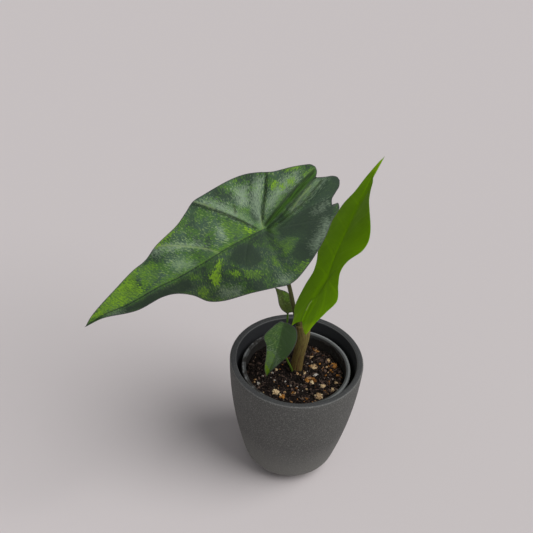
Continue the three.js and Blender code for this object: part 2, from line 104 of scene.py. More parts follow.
LARGE_LEAF = {
    **LEAF_DEFAULTS,
    "junction": (-35.3, -10, 255), "tip_direction": (-0.84, -0.355, -0.41),
    "face_direction": (0, -0.756, 0.654), "tip": (153, 0), "notch": (-55, -16),
    "left": {
        "outer": [
            (153, 0), (138, 0.8), (112, 8.2), (90, 8.6), (80, 11.3), (70, 18.3), (62, 28), (52, 33),
            (30, 38), (14, 42.5), (0, 46), (-20, 39), (-40, 27), (-50.8, 18.3), (-56.4, 15.4), (-59.6, 13),
            (-60.5, 8.8), (-57.2, 9.6), (-55.9, 8.8), (-56.4, 7), (-58, 4.3), (-62.6, 1.4), (-67.6, -1.7),
            (-70, -5.5),
        ],
        "inner": [(-70, -5.5), (-69.6, -8.6), (-67, -11), (-61, -13.2), (-55, -16)],
        "tip_fold": -1.1,
        "veins": [
            [(88, 0), (83, 5), (78, 12)], [(62, 1), (65, 7), (66, 16), (66, 22)],
            [(30, 0), (41, 8), (50, 19), (56, 31)], [(12, 0), (20, 10), (28, 24), (34, 38)],
            [(0, 0), (-2, 8), (-5, 17), (-5, 27), (-3, 44)], [(0, 0), (-9, 11), (-20, 21), (-33, 32)],
            [(0, 0), (-14, 5), (-32, 11), (-50, 17)],
        ],
        "panel_depth": 0.6,
    },
    "right": {
        "outer": [
            (153, 0), (144, -5.3), (116, -15), (100, -20), (88, -22.3), (76, -28), (55, -34), (45, -39),
            (36, -43.8), (26, -44.7), (3, -45.4), (-9, -43.7), (-19, -40), (-28, -35.6), (-42, -32),
            (-51, -29), (-56.3, -26.6), (-58.4, -23.6),
        ],
        "inner": [(-58.4, -23.6), (-58, -20), (-55, -16)],
        "veins": [
            [(101, -1), (112, -8), (121, -13)], [(70, 1), (82, -7), (94, -15), (103, -20)],
            [(35, 0), (43, -7), (51, -13), (60, -19), (79, -28)], [(0, 0), (14, -19), (23, -30), (36, -44)],
            [(0, 0), (-6, -14), (-13, -23), (-23, -39)],
            [(0, 0), (-7, -5.8), (-16, -9.6), (-29, -13.5), (-40, -18.5), (-56, -23)],
        ],
        "ridges": [0, 0, 0.4, 1.4, 3, -3.4, 0.7, 0],
        "sags": [(0, 1), (-0.5, 1), (-1.2, 1), (-2.8, 0.5), (0.8, 1), (2.6, 3), (0, 1)],
    },
    "midrib": [
        (-2, 0), (12, -0.6), (30, -0.6), (50, 0.6), (70, 1.2), (88, 0.4), (116, 0.6), (134, -1.2),
        (151, -0.3),
    ],
    "folds": [
        ([(-4, -1), (-18, -4.6), (-36, -10.5), (-55, -16)], -2.4, 3.5),
        ([(-6, 2.5), (-15, 2), (-29, -1.5), (-42, -5.4), (-60, -10.5)], 2.2, 2.6),
        ([(6, 0.8), (14, 1.1), (34, 1.4), (50, 2.3), (70, 2.9), (90, 2), (116, 2.1)], 0.6, 1.1),
        ([(3, -17), (-1, -19), (-3.6, -11), (-1.5, -6), (2.8, -9)], -0.8, 3),
    ],
    "fan_start": 0.6, "crown": 10, "lobe_rise": -0.0022, "fold": 0.16, "curl": 0.0035, "edge_wave": 0.8,
    "rib_depth": 1.1, "groove": 0.65, "columns": (300, 26), "rows": 62,
    "lime": [
        (0.85, [(4.6, -1), (10, -9.5), (16, -11), (20, -6), (10.5, -2)]),
        (0.5, [(5, -1), (11, -11), (17, -18), (22, -21), (26, -18), (27, -11), (24, -5), (10, -2)]),
        (0.45, [(9, -23), (1.4, -19), (3.3, -12.7), (10, -9), (13, -16)]),
        (0.52, [(-0.6, 5.4), (-3.3, 9.7), (-7, 13.3), (-14, 13.5), (-20.5, 18.4), (-15.3, 22), (-10, 24.2),
         (-5.4, 25.7), (-5.2, 19.5), (-3, 13)]),
        (0.65, [(-7, 37), (-14, 35), (-20, 36), (-16.4, 40), (-10, 42.4), (-5, 41)]),
        (0.95, [(45, 8), (40, 3.4), (37, 4.4), (44.7, 16.8), (49.7, 21.7), (52.6, 19), (52.4, 11)]),
        (0.75, [(148, -3.5), (138, -8), (126, -12), (113, -16), (101, -14), (99, -2), (116, 0), (128, -0.9),
         (140, -1.8)]),
        (0.95, [(137, -7), (124, -11.5), (110, -14.5), (104, -9), (118, -4), (132, -2.4)]),
        (0.7, [(115, -14.5), (105, -19), (96, -20), (98, -13), (109, -9.6)]),
        (0.55, [(96, -20), (84, -19), (81, -13), (86, -5), (99, -3), (98, -10)]),
        (0.5, [(94, -1.4), (75, -0.4), (56, -0.6), (20, -1), (20, -3), (43, -4.5), (62, -4), (84, -4)]),
        (0.35, [(74, -12), (56, -12.6), (43, -5.5), (40, -1), (69, 0.5), (75, -5)]),
        (0.15, [(40, -41), (30, -34.5), (30, -30), (39.5, -30.5), (44, -35)]),
        (0.7, [(-33, -36), (-42, -33.5), (-50, -30), (-45, -27), (-36, -30)]),
        (0.8, [(-21, -27), (-26, -29), (-28, -26), (-24, -23.5), (-19.5, -22.7)]),
        (0.8, [(-27, -24), (-31, -23.5), (-30, -19.4), (-26, -19.4)]),
        (0.75, [(-34, -25), (-41, -24), (-37, -19), (-33, -21)]),
        (0.5, [(-21, -15), (-26, -17), (-31, -16), (-23, -10), (-15, -9)]),
        (0.6, [(-44.5, -23), (-51, -24), (-57, -23), (-55, -19), (-46, -18)]),
        (0.7, [(65, 14.7), (58, 15.5), (56, 19.5), (62, 25), (66, 19.7)]),
        (0.5, [(4, -45), (-2, -44), (-1, -40), (3, -39)]),
        (0.75, [(37, 15), (31, 16.5), (30, 22), (36, 23)]),
        (0.65, [(27, 19), (18, 24), (15, 30), (20, 32), (28, 26)]),
        (0.6, [(5, 20), (1, 21), (1, 31), (5, 28)]), (0.5, [(65, 1), (60, 4), (57, 10), (65, 7)]),
        (0.8, [(50, -36), (54, -33), (62, -28.5), (71, -27), (76, -25), (78, -30), (60, -38)]),
        (0.6, [(70, 21), (64, 24.5), (56, 29), (48, 31), (50, 36), (60, 34), (70, 26)]),
    ],
    # Painted sheen and light on some panels and lobe edges.
    "bloom": [
        [(33, -42), (22.6, -38), (14, -27.7), (7.7, -18), (6, -8), (10, -13.4), (17.5, -21), (25.6, -32.6)],
        [(5, -38), (-6, -35), (-2, -22), (7, -24)],
        [(-20, -35), (-14, -36.5), (-5, -28), (-1, -20.5), (-2, -8), (0, -3), (-5, -10), (-12.5, -24)],
        [(25, -17), (29, -18), (31, -13), (28, -7), (26, -11)],
        [(73, -12), (63, -10.5), (56, -3), (58, -1.5), (70, -3)],
        [(79, -28), (68, -24.5), (49, -16), (44, -10), (58, -16), (68, -19.5), (80, -23)],
        [(49, 22.7), (35, 30), (38, 36), (50, 30.5)],
        [(-7, -11), (-16, -12.5), (-30, -17), (-42, -21), (-44, -26), (-34, -27), (-24, -24), (-13, -17)],
        [(-26, 33), (-38, 28), (-50, 18.5), (-45, 14.5), (-36, 22), (-26, 27)],
        [(-25, -3), (-28.4, -4.6), (-41, -10), (-55, -14.6), (-59, -12), (-42, -6), (-29, -2)],
        [(-40, 7), (-46, 5), (-53, 5), (-47, 8)], [(6, 37), (-3, 41), (0, 45), (9, 42)],
        [(133, -0.4), (127, 0.7), (122, 2.8), (128, 3)],
    ],
    # Painted highlights along ridges and folds.
    "highlight_lines": [
        [(78, -28), (69, -24.5), (60, -19), (51, -13), (43, -7), (37, -1)],
        [(-4, -10), (-2.5, -6), (-0.8, -1.4)], [(-26, -2.5), (-37, -8), (-48, -12)],
        [(36, -44.5), (28, -36), (24, -31)],
    ],
    # Painted shade beside the creases.
    "shade_lines": [
        [(-4, 0.1), (-19, -3.4), (-34, -9.2), (-46.4, -13.3), (-53.7, -16)],
        [(-3.7, -3), (-20, -10.2), (-34.4, -15.4), (-46.6, -19), (-56, -21.4)], [(10, -26), (12, -21)],
        [(-4, -7), (-9, -14.5), (-16.5, -25), (-25, -39)], [(4, -4), (14, -17.5), (23, -28), (36, -41.5)],
        [(-14, 1), (-25, -0.6), (-38, -4), (-50, -8.5), (-57, -11.5)],
    ],
    "deep": [
        [(-2, -2), (-7, -5.4), (-16, -9), (-29, -12.8), (-40, -17.6), (-56, -22), (-55, -17), (-40, -12),
         (-27, -8), (-17.7, -4.6), (-6, -0.6)],
    ],
    "plain": [
        [(-9, 4), (-22, 1.2), (-30, 0.5), (-44, -4.4), (-60, -13), (-70, -12), (-74, -4), (-58, 8),
         (-44, 26), (-24, 37), (-13.4, 35.5), (-9, 26), (-21, 18.5), (-10, 11)],
        [(3, -17), (-1.4, -18.8), (-3.6, -11.5), (-1.9, -6.3), (2.8, -8.8)],
        [(24, 1.5), (13, 3), (11.3, 13.5), (10.6, 21), (21.6, 21), (28.5, 14), (34.5, 7)],
        [(140, 1.5), (90, 3), (73, 4), (66, 6.3), (66, 12.5), (74, 13), (88, 10), (103, 10), (125, 4)],
    ],
}

BRIGHT_LEAF = {
    **LEAF_DEFAULTS,
    "junction": (17.5, -6, 210), "tip_direction": (0.284, 0.867, 0.409),
    "face_direction": (-0.74, -0.073, 0.669), "tip": (123.5, 6), "notch": (-43, 2.3),
    "left": {
        "outer": [
            (123.5, 6), (99, 13), (85, 18), (74, 28), (52, 33), (31, 30), (18, 23), (7, 21), (-4, 27),
            (-16, 30), (-26, 27), (-36, 19), (-46.5, 12.4),
        ],
        "inner": [(-46.5, 12.4), (-43.8, 8.4), (-43.4, 4.6), (-43, 2.3)],
        "veins": [
            [(71, 3), (78, 12), (83, 19)], [(44, 1), (54, 13), (64, 27), (66, 31)],
            [(18, 1), (30, 14), (38, 24), (41, 32)], [(0, 0), (8, 10), (12, 21)],
            [(0, 0), (-8, 10), (-14, 20), (-18, 29)], [(0, 0), (-16, 8), (-30, 13), (-43, 13)],
        ],
        "panel_depth": 0.6,
    },
    "right": {
        "outer": [
            (123.5, 6), (101, 3), (80, -10), (52, -30), (34, -33), (21, -29), (11, -18), (2, -15),
            (-10, -18), (-25, -24), (-36, -19), (-47, -15), (-58.8, -14.8),
        ],
        "inner": [(-58.8, -14.8), (-55.8, -10.4), (-52.4, -6.7), (-47.5, -1.2), (-43, 2.3)],
        "tip_fold": 0.45,
        "veins": [
            [(71, 3), (80, -4), (87, -7)], [(41, 1), (48, -12), (52, -29)], [(18, 1), (22, -10), (26, -31)],
            [(0, 0), (6, -8), (8, -16)], [(0, 0), (-9, -10), (-19, -22)],
            [(0, 0), (-18, -8), (-34, -13), (-52, -13)], [(0, 0), (-16, 0), (-35, -1), (-48, -5)],
        ],
        "panel_depth": 0.6,
    },
    "midrib": [(-2, 0), (18, 1), (41, 1), (71, 3), (102, 4.5), (122, 6)],
    "folds": [([(0, 0), (-10, 3), (-22, 5.5)], -0.8, 3), ([(-22, 5.5), (-32, 4.6), (-43, 2.3)], 1, 1.6)],
    "fan_start": 0.6, "droop": 0.0009, "lobe_rise": 0.0028, "fold": 0.12, "edge_wave": 0.6,
    "rib_depth": 0.9, "groove": 0.45, "columns": (250, 50), "rows": 44,
    "lime": [
        (0.5, [(-47, 10), (-34, 16), (-36, 22), (-46, 14)]),
        (0.5, [(-59, -15), (-46, -14), (-48, -4), (-54, -5)]),
        (0.6, [(124, 5), (124, 7), (106, 10), (106, 5)]),
    ],
    # Painted shade beside the fold between the lobes, a painted highlight along that fold and painted shade
    # under it.
    "bloom": [[(-20, 5), (-28, 5.4), (-28, 7.2), (-20, 8)]],
    "highlight_lines": [[(-22.6, 5.5), (-28, 5.1), (-32, 4.6)]],
    "shade_lines": [[(-25, 3.6), (-34, 2.4), (-43, 0.6)]],
}

SMALL_FRONT_LEAF = {
    **LEAF_DEFAULTS,
    "junction": (-13.8, -8, 156), "tip_direction": (-0.18, -0.09, -0.98),
    "face_direction": (-0.13, -0.98, 0.12), "tip": (55, 0), "notch": (-4.5, 0),
    "left": {
        "outer": [(55, 0), (45, 3), (35, 7), (25, 11.5), (16, 13.7), (6, 14), (-2, 10.5), (-5, 4)],
        "inner": [(-5, 4), (-4.5, 0)],
        "veins": [[(22, 0), (28, 5), (35, 7)], [(8, 0), (14, 7), (18, 12)], [(0, 0), (3, 6), (5, 14)]],
        "panel_depth": 0.5,
    },
    "right": {
        "outer": [(55, 0), (46, -4), (32, -6), (21, -8.4), (13, -12.4), (4, -8.6), (-2, -5.2), (-5, -3)],
        "inner": [(-5, -3), (-4.5, 0)],
        "veins": [
            [(22, 0), (29, -4), (34, -5.5)], [(8, 0), (14, -6), (17, -10)], [(0, 0), (3, -5), (4, -10)],
        ],
        "panel_depth": 0.5,
    },
    "midrib": [(-1, 0), (8, 0.6), (17, 1.4), (33, 1), (54, 0)],
    "folds": [([(-3, -2), (4, -4), (9, -5)], 0.5, 1.5)],
    "crown": 3, "fold": 0.15, "edge_wave": 0.3, "rib_depth": 0.45, "groove": 0.4, "columns": (120, 10),
    "rows": 26,
    "lime": [
        # The lime at the tip and on the lower part is partly the leaf's own lime and partly painted light on
        # the lit lower part; the small square is a painted highlight.
        (1.0, [(60, -3), (60, 2), (50, 2), (45, 0.5), (41, -2), (36, -4), (29, -5.6), (29, -10), (50, -8)]),
        (0.58, [(26, -7), (34, -6.5), (40, -5), (46, 1), (38, 3), (30, 2), (24, -1.5)]),
        (1.0, [(36.5, -3.6), (33, -4), (32.6, -0.8), (36, -0.5)]), (0.4, [(24, 7.4), (22, 6.6), (21.6, 8)]),
    ],
    # Painted light on the lit lower part, and a painted highlight along the tip's left side.
    "bloom": [[(23, -5), (28, -7), (34, -7), (46, -5), (52, 0), (44, 3.5), (35, 5.5), (27, 2.5)]],
    "highlight_lines": [[(30, -6), (38, -4.6), (46, -2.8), (53, -0.5)]],
    "plain": [[(-6, 1), (-5, 14), (6, 16), (17, 15), (26, 12), (23, 5), (15, 2), (6, 1)]],
}

SMALL_BACK_LEAF = {
    **LEAF_DEFAULTS,
    "junction": (-10.2, 12, 154.5), "tip_direction": (-0.5, 0.16, 0.85),
    "face_direction": (0.161, -0.954, 0.254), "tip": (25, 0), "notch": (-2, -0.3),
    "left": {
        "outer": [(25, 0), (18, 1.6), (10, 4), (4, 4), (-3, 2)],
        "inner": [(-3, 2), (-2, -0.3)],
        "veins": [[(8, 0), (11, 2), (13, 3)], [(0, 0), (3, 2), (5, 4)]],
        "panel_depth": 0.2,
    },
    "right": {
        "outer": [(25, 0), (22, -3), (17, -7.5), (8, -8), (1, -6), (-3, -3)],
        "inner": [(-3, -3), (-2, -0.3)],
        "veins": [[(10, 0), (14, -4), (17, -7)], [(0, 0), (4, -4), (6, -8)]],
        "panel_depth": 0.3,
    },
    "midrib": [(-1, 0), (10, 0), (24, 0)],
    "crown": 2, "fold": 0.2, "curl": 0, "edge_wave": 0.2, "rib_depth": 0.35, "groove": 0.3,
    "columns": (80, 8), "rows": 20,
    "lime": [(0.6, [(20, -7), (12, -7.5), (8, -3), (13, -2), (20, -4)])],
}

# Stalks: the leaf each carries, the points of its axis up to the bend, and its radii at foot and top.
STALKS = {
    "petiole_large": (
        LARGE_LEAF,
        [(-0.4, 6.1, 141), (-1.7, 6.2, 146), (-5.4, 6.5, 161), (-11.4, 7, 186), (-19, 7, 212),
         (-28, 3, 236)],
        (1.8, 1.6)
    ),
    "petiole_bright": (
        BRIGHT_LEAF, [(5.2, 6.3, 141), (6.2, 6.4, 147), (10.8, 5.5, 162), (16, 1.5, 184), (19.5, -3, 200)],
        (1.8, 1.5)
    ),
    "petiole_small_front": (
        SMALL_FRONT_LEAF, [(-3, 3, 88), (-3, 3, 96), (-9.5, 0, 116), (-12.5, 0, 138)], (1, 0.9)
    ),
    "petiole_small_back": (
        SMALL_BACK_LEAF, [(-11, 21, 88), (-11, 21, 97), (-10.5, 19, 120), (-10.2, 17, 143)], (0.9, 0.8)
    ),
}
CAD_BLADE = {"thickness": 0.9, "clearance": 0.3}
EDGE_INSET = 0.35

# Distances on a blade: one that counts as far off, and those over which a wide panel's sag, the pleats
# beside the axis and the groove over a vein build up or fade.
FAR = 30
PANEL_WIDTH = 14
PLEAT_START = 12
GROOVE_WIDTH = 0.9

# Lights: where they come from, the key light's softness, and the fill's strength behind and in front.
KEY_DIRECTION = (0.552, -0.19, 0.812)
KEY_ANGLE = 0.85
FILL_DIRECTION = (0.15, -0.9, 0.4)
FILL_SHARES = (0.75, 1.7)

# The photograph's camera: its place in metres, its axes and its focal length in pixels.
PHOTO_WIDTH = 533
CAMERA_PLACE = (-0.0304, -0.88219, 0.97342)
CAMERA_RIGHT = (0.9973, 0.0481, 0.0557)
CAMERA_UP = (-0.0736, 0.6523, 0.7544)
CAMERA_BACK = (0, -0.7564, 0.6541)
FOCAL_PIXELS = 1500
SENSOR_MM = 36


def linear(hex_code):
    """The linear red, green and blue of an sRGB hex colour."""
    shares = [int(hex_code[i:i + 2], 16) / 255 for i in (0, 2, 4)]
    return tuple(c / 12.92 if c <= 0.04045 else ((c + 0.055) / 1.055) ** 2.4 for c in shares)


def linears(*hex_codes):
    return [linear(code) for code in hex_codes]


def dimmed(colour, share):
    return [c * share for c in colour]


def colour_property(name, description, hex_code):
    return FloatVectorProperty(name=name, description=description, subtype="COLOR", size=3, min=0, max=1,
                               default=linear(hex_code))


class PotSettings(bpy.types.PropertyGroup):
    """What can be changed on the two pots."""

    outer_colour: colour_property("Outer pot", "Colour of the matt stoneware", "545452")
    speckle_colour: colour_property("Speckle", "Colour of the fine specks in the stoneware", "868681")
    # Painted shade: the colour given to the stoneware inside and on the rim's top.
    inside_shade_colour: colour_property("Outer pot inside", "Colour of the stoneware inside", "37383b")
    # Painted highlight: the colour of the light lines along the rim's edges.
    lip_highlight_colour: colour_property("Rim edges", "Colour of the rubbed edges of the rim", "868686")
    nursery_colour: colour_property("Nursery pot", "Colour of the moulded plastic", "8a8c8c")
    stain_colour: colour_property("Stain", "Colour of the dried mix on the nursery pot", "221d19")
    sides: IntProperty(name="Sides", description="Sections round each pot", default=160, min=32, max=256)


class MixSettings(bpy.types.PropertyGroup):
    """What can be changed on the potting mix."""

    peat_colour: colour_property("Peat", "Colour of the moist peat between the chips", "1a1410")
    bark_colour: colour_property("Bark", "Colour of the orange-brown bark chips", "b8803e")
    pumice_colour: colour_property("Pumice", "Colour of the cream pumice", "e0caa0")
    perlite_colour: colour_property("Perlite", "Colour of the white perlite grains", "d6cfc6")
    crumbs: IntProperty(name="Crumbs", description="Dark crumbs on the mix", default=1500, min=0, max=4000)
    splinters: IntProperty(name="Splinters", description="Thin bark splinters", default=160, min=0, max=600)
    grains: IntProperty(name="Grains", description="Small pale grains", default=260, min=0, max=600)


class PlantSettings(bpy.types.PropertyGroup):
    """What can be changed on the leaves, stalks and sheath."""

    thickness: FloatProperty(name="Blade thickness", description="Thickness of a blade away from its ribs",
                             default=0.0005, min=0.0002, max=0.0009, unit="LENGTH", precision=5)
    dark_colour: colour_property("Dark green", "Darkest green of the mottled leaf", "2b3e2d")
    grey_colour: colour_property("Grey green", "Grey green of the mottled leaf", "45604a")
    mid_colour: colour_property("Mid green", "Mid green blotches", "456c2a")
    lime_colour: colour_property("Lime", "Lime patches and specks", "82ae22")
    # Painted sheen: a pale bluish reflection on some panels, also used for the faint pale veins.
    sheen_and_vein_colour: colour_property("Bloom", "Pale bluish bloom between the veins", "92a88c")
    fleck_colour: colour_property("Flecks", "Light grey-green flecks", "9ab46a")
    deep_colour: colour_property("Deep green", "Saturated green along the seam between the lobes", "3c6416")
    # Painted shade: dark green in the midrib's groove and beside the creases.
    crease_shade_colour: colour_property("Midrib groove", "Dark green in the groove of the midrib", "1c2c14")
    # Painted highlight: pale green along ridges and folds.
    fold_highlight_colour: colour_property("Pale lines", "Pale green along the folds", "a8bc74")
    edge_colour: colour_property("Edge", "Thin edge of the mottled leaf", "4d4a50")
    # Partly the young leaf's own yellow green and partly painted glow of light shining through it.
    young_green_and_glow_colour: colour_property("Young leaf", "Yellow green of the young leaf", "6c9a00")
    bright_vein_colour: colour_property("Young veins", "Paler green along the young leaf's veins", "80aa04")
    stalk_colour: colour_property("Stalk", "Olive green of the stalks", "424719")
    sheath_colour: colour_property("Sheath", "Olive brown of the stem's sheath", "7e7042")


class StageSettings(bpy.types.PropertyGroup):
    """What can be changed on the floor and the lights."""

    floor_colour: colour_property("Floor", "Colour of the plain pale floor", "d6cfcf")
    key_strength: FloatProperty(name="Key light", description="Strength of the key light", default=2.2, min=0)
    sky_strength: FloatProperty(name="Fill light", description="Strength of the fill", default=0.24, min=0)


# Meshes

def smooth_curve(points, steps=24):
    """A centripetal curve through the points, drawn closely enough to measure along."""
    knots = np.array(points, float)
    line = np.vstack([2 * knots[0] - knots[1], knots, 2 * knots[-1] - knots[-2]])
    t = np.linspace(0, 1, steps, endpoint=False)[:, None]
    drawn = []
    for a, b, c, d in zip(line, line[1:], line[2:], line[3:]):
        before, here, after = (max(np.linalg.norm(q - p) ** 0.5, 1e-4) for p, q in ((a, b), (b, c), (c, d)))
        leave = ((b - a) / before - (c - a) / (before + here) + (c - b) / here) * here
        arrive = ((c - b) / here - (d - b) / (here + after) + (d - c) / after) * here
        drawn.append(b * (2 * t**3 - 3 * t**2 + 1) + leave * (t**3 - 2 * t**2 + t)
                     + c * (3 * t**2 - 2 * t**3) + arrive * (t**3 - t**2))
    return np.vstack([*drawn, knots[-1:]])


def even_points(line, count):
    """Points at equal distances along a line, both ends among them."""
    lengths = np.concatenate([[0], np.cumsum(np.linalg.norm(np.diff(line, axis=0), axis=1))])
    wanted = np.linspace(0, lengths[-1], count + 1)
    return np.stack([np.interp(wanted, lengths, line[:, k]) for k in range(line.shape[1])], axis=1)


def line_distance(places, line):
    """How far each place lies from a line of points, and on which side of it."""
    nearest = np.full(len(places), np.inf)
    side = np.zeros(len(places))
    for start, end in zip(line, line[1:]):
        along = end - start
        share = np.clip((places - start) @ along / max(along @ along, 1e-12), 0, 1)
        offset = places - start - share[:, None] * along
        distance = np.linalg.norm(offset, axis=1)
        closer = distance < nearest - 1e-9
        nearest = np.where(closer, distance, nearest)
        side = np.where(closer, np.sign(along[0] * offset[:, 1] - along[1] * offset[:, 0]), side)
    return nearest, side


def nearest_line(places, lines):
    """How far each place lies from the nearest of some lines."""
    gaps = [line_distance(places, even_points(smooth_curve(line), 24))[0] for line in lines]
    return np.min([np.full(len(places), FAR), *gaps], axis=0)


def area_depth(places, corners):
    """How far each place lies inside an area, and below zero outside it."""
    closed = np.array([*corners, corners[0]], float)
    inside = np.zeros(len(places), bool)
    for (x1, y1), (x2, y2) in zip(closed, closed[1:]):
        crosses = (y1 > places[:, 1]) != (y2 > places[:, 1])
        reach = (x2 - x1) * (places[:, 1] - y1) / ((y2 - y1) or 1e-12) + x1
        inside ^= crosses & (places[:, 0] < reach)
    distance, _ = line_distance(places, closed)
    return np.where(inside, distance, -distance)


def area_depths(places, areas):
    """How far each place lies inside each area, after a first row for places far from all of them."""
    return np.array([np.full(len(places), -FAR), *(area_depth(places, corners) for corners in areas)])


def smooth_step(low, high, value):
    share = np.clip((value - low) / (high - low), 0, 1)
    return share * share * (3 - 2 * share)


def add_piece(name, points, faces, materials, attributes=(), material_of_face=None, smooth=True):
    """A mesh object from points in millimetres, with one number or vector a point for each attribute."""
    mesh = bpy.data.meshes.new(name)
    mesh.from_pydata((np.asarray(points) * MM).tolist(), [], faces)
    for material in materials:
        mesh.materials.append(material)
    if material_of_face is not None:
        mesh.polygons.foreach_set("material_index", material_of_face)
    mesh.polygons.foreach_set("use_smooth", [smooth] * len(mesh.polygons))
    for label, values in dict(attributes).items():
        values = np.asarray(values, np.float32)
        kind, content = ("FLOAT_VECTOR", "vector") if values.ndim == 2 else ("FLOAT", "value")
        mesh.attributes.new(label, kind, "POINT").data.foreach_set(content, values.ravel())
    mesh.update()
    piece = bpy.data.objects.new(name, mesh)
    bpy.context.scene.collection.objects.link(piece)
    return piece


def dress(piece, nodes):
    """The piece stands for the nodes, which are hidden, and moves with the plant."""
    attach(piece, "root")
    if nodes:
        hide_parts(*nodes)


def welded(points, quads, extras):
    """Points that share a place become one, and faces without area go."""
    keys, first, same = np.unique(np.round(points, 4), axis=0, return_index=True, return_inverse=True)
    same = same.reshape(-1)
    faces, kept = [], []
    for number, quad in enumerate(same[np.asarray(quads)].tolist()):
        corners = [c for i, c in enumerate(quad) if c != quad[i - 1]]
        if len(set(corners)) >= 3 and len(set(corners)) == len(corners):
            faces.append(corners)
            kept.append(number)
    return keys, faces, {label: values[first] for label, values in extras.items()}, kept


def arc(centre, radius, start, end, count):
    angles = np.radians(np.linspace(start, end, count + 1))
    return [(centre[0] + radius * math.cos(a), centre[1] + radius * math.sin(a)) for a in angles]


def tube_faces(rings, sides):
    """Faces of a closed tube of rings, where the middles of its ends come after all the rings."""
    faces = []
    around = [(k, (k + 1) % sides) for k in range(sides)]
    for start in range(0, (rings - 1) * sides, sides):
        faces += [(start + k, start + n, start + sides + n, start + sides + k) for k, n in around]
    foot, last = rings * sides, (rings - 1) * sides
    for k, n in around:
        faces += [(foot, n, k), (foot + 1, last + k, last + n)]
    return faces


def turned(profile, sides):
    """A closed body turned about the vertical axis from a profile that starts and ends on it."""
    angles = np.linspace(0, 2 * math.pi, sides, endpoint=False)
    points = [(r * math.cos(a), r * math.sin(a), z) for r, z in profile[1:-1] for a in angles]
    points += [(0, 0, profile[0][1]), (0, 0, profile[-1][1])]
    return points, tube_faces(len(profile) - 2, sides)


def rod(line, section_at, sides):
    """A closed rod along a line; section_at gives its half width and half depth by share and angle."""
    tangents = np.gradient(line, axis=0)
    tangents /= np.linalg.norm(tangents, axis=1)[:, None]
    angles = np.linspace(0, 2 * math.pi, sides, endpoint=False)
    count = len(line)
    points = []
    for i, (place, tangent) in enumerate(zip(line, tangents)):
        depth = -np.cross(np.cross((0, 1, 0), tangent), tangent)
        if np.linalg.norm(depth) < 0.2:
            depth = -np.cross(np.cross((0, 0, 1), tangent), tangent)
        depth /= np.linalg.norm(depth)
        half_width, half_depth = section_at(i / (count - 1), angles)
        points.append(place + np.outer(half_width * np.cos(angles), np.cross(depth, tangent))
                      + np.outer(half_depth * np.sin(angles), depth))
    points = np.vstack([*points, line[:1], line[-1:]])
    shares = np.concatenate([np.repeat(np.linspace(0, 1, count), sides), [0, 1]])
    turns = np.concatenate([np.tile(angles, count), [0, 0]])
    extras = {"along": shares, "turn": np.stack([np.cos(turns), np.sin(turns), shares], axis=1)}
    return points, tube_faces(count, sides), extras


# Materials

def new_material(name):
    """An empty node material and its tree."""
    material = bpy.data.materials.new(name)
    material.use_nodes = True
    material.node_tree.nodes.clear()
    return material, material.node_tree


def add_node(tree, kind, *inputs, sockets=None, **settings):
    """A node whose inputs take values, nodes or their outputs, in order and then by number or name."""
    node = tree.nodes.new("ShaderNode" + kind)
    for name, value in settings.items():
        setattr(node, name, value)
    for socket, value in [*enumerate(inputs), *(sockets or {}).items()]:
        if isinstance(value, bpy.types.Node):
            value = value.outputs[0]
        if isinstance(value, bpy.types.NodeSocket):
            tree.links.new(value, node.inputs[socket])
        else:
            node.inputs[socket].default_value = value
    return node


def colour_of(value):
    return (*value, 1)


def where_all(tree, *shares):
    """The share that is left where all of the shares hold at once."""
    product = shares[0]
    for share in shares[1:]:
        product = add_node(tree, "Math", product, share, operation="MULTIPLY")
    return product


def ragged(tree, name, texture, reach):
    """A number kept on the mesh, made uneven by up to the reach."""
    number = add_node(tree, "Attribute", attribute_name=name).outputs["Fac"]
    swing = add_node(tree, "MapRange", texture, 0.3, 0.7, -reach, reach)
    return add_node(tree, "Math", number, swing, operation="ADD")


def layered(tree, colour, *layers):
    """The colour with the colour of each layer over it in turn, by the layer's share."""
    for share, over in layers:
        under, over = (c if isinstance(c, bpy.types.NodeSocket) else colour_of(c) for c in (colour, over))
        mix = add_node(tree, "Mix", share, sockets={6: under, 7: over}, data_type="RGBA")
        colour = mix.outputs[2]
    return colour


def finish(tree, colour, roughness, height, strength=0.3, depth=0.0003, ior=1.45, specular=0.5):
    """The surface shader, with fine relief from a height, and its output."""
    bump = add_node(tree, "Bump", sockets={"Strength": strength, "Distance": depth, "Height": height})
    surface = {"Base Color": colour, "Roughness": roughness, "Normal": bump, "IOR": ior,
               "Specular IOR Level": specular}
    add_node(tree, "OutputMaterial", add_node(tree, "BsdfPrincipled", sockets=surface))


def stoneware(settings):
    """Matt unglazed stoneware, slip cast: it gives the outer pot its dull, faintly speckled dark grey, with
    painted shade inside and on the rim's top, painted highlights on the rim's edges and painted light towards
    the foot.
    """
    material, tree = new_material("matt_stoneware")
    place = add_node(tree, "TexCoord").outputs["Object"]
    height = add_node(tree, "SeparateXYZ", place).outputs["Z"]
    cloud = add_node(tree, "TexNoise", place, sockets={"Scale": 1 / (22.2 * MM), "Detail": 4})
    # The specks are a little coarser than the real ones so that they show.
    speck = add_node(tree, "TexNoise", place, sockets={"Scale": 1 / (0.909 * MM), "Detail": 2})
    grain = add_node(tree, "TexNoise", place, sockets={"Scale": 1 / (0.625 * MM), "Detail": 3})
    colour = layered(
        tree, settings.outer_colour,
        (add_node(tree, "MapRange", cloud, 0.3, 0.7, 0, 0.2), dimmed(settings.outer_colour, 0.75)),
        (add_node(tree, "MapRange", speck, 0.5, 0.66, 0, 0.5), settings.speckle_colour),
        # Painted light: the wall is a little paler towards the foot, where light thrown up from the floor
        # falls on it.
        (add_node(tree, "MapRange", height, 0.055, 0.008, 0, 0.6), settings.speckle_colour),
        # Painted shade darkens the inside and the rim's top, and painted highlights lie along the rim's
        # edges.
        (add_node(tree, "Attribute", attribute_name="inside").outputs["Fac"], settings.inside_shade_colour),
        (add_node(tree, "Attribute", attribute_name="lip_highlight").outputs["Fac"], settings.lip_highlight_colour),
    )
    roughness = add_node(tree, "MapRange", cloud, 0, 1, 0.66, 0.82)
    finish(tree, colour, roughness, grain, strength=0.5, specular=0.35)
    return material


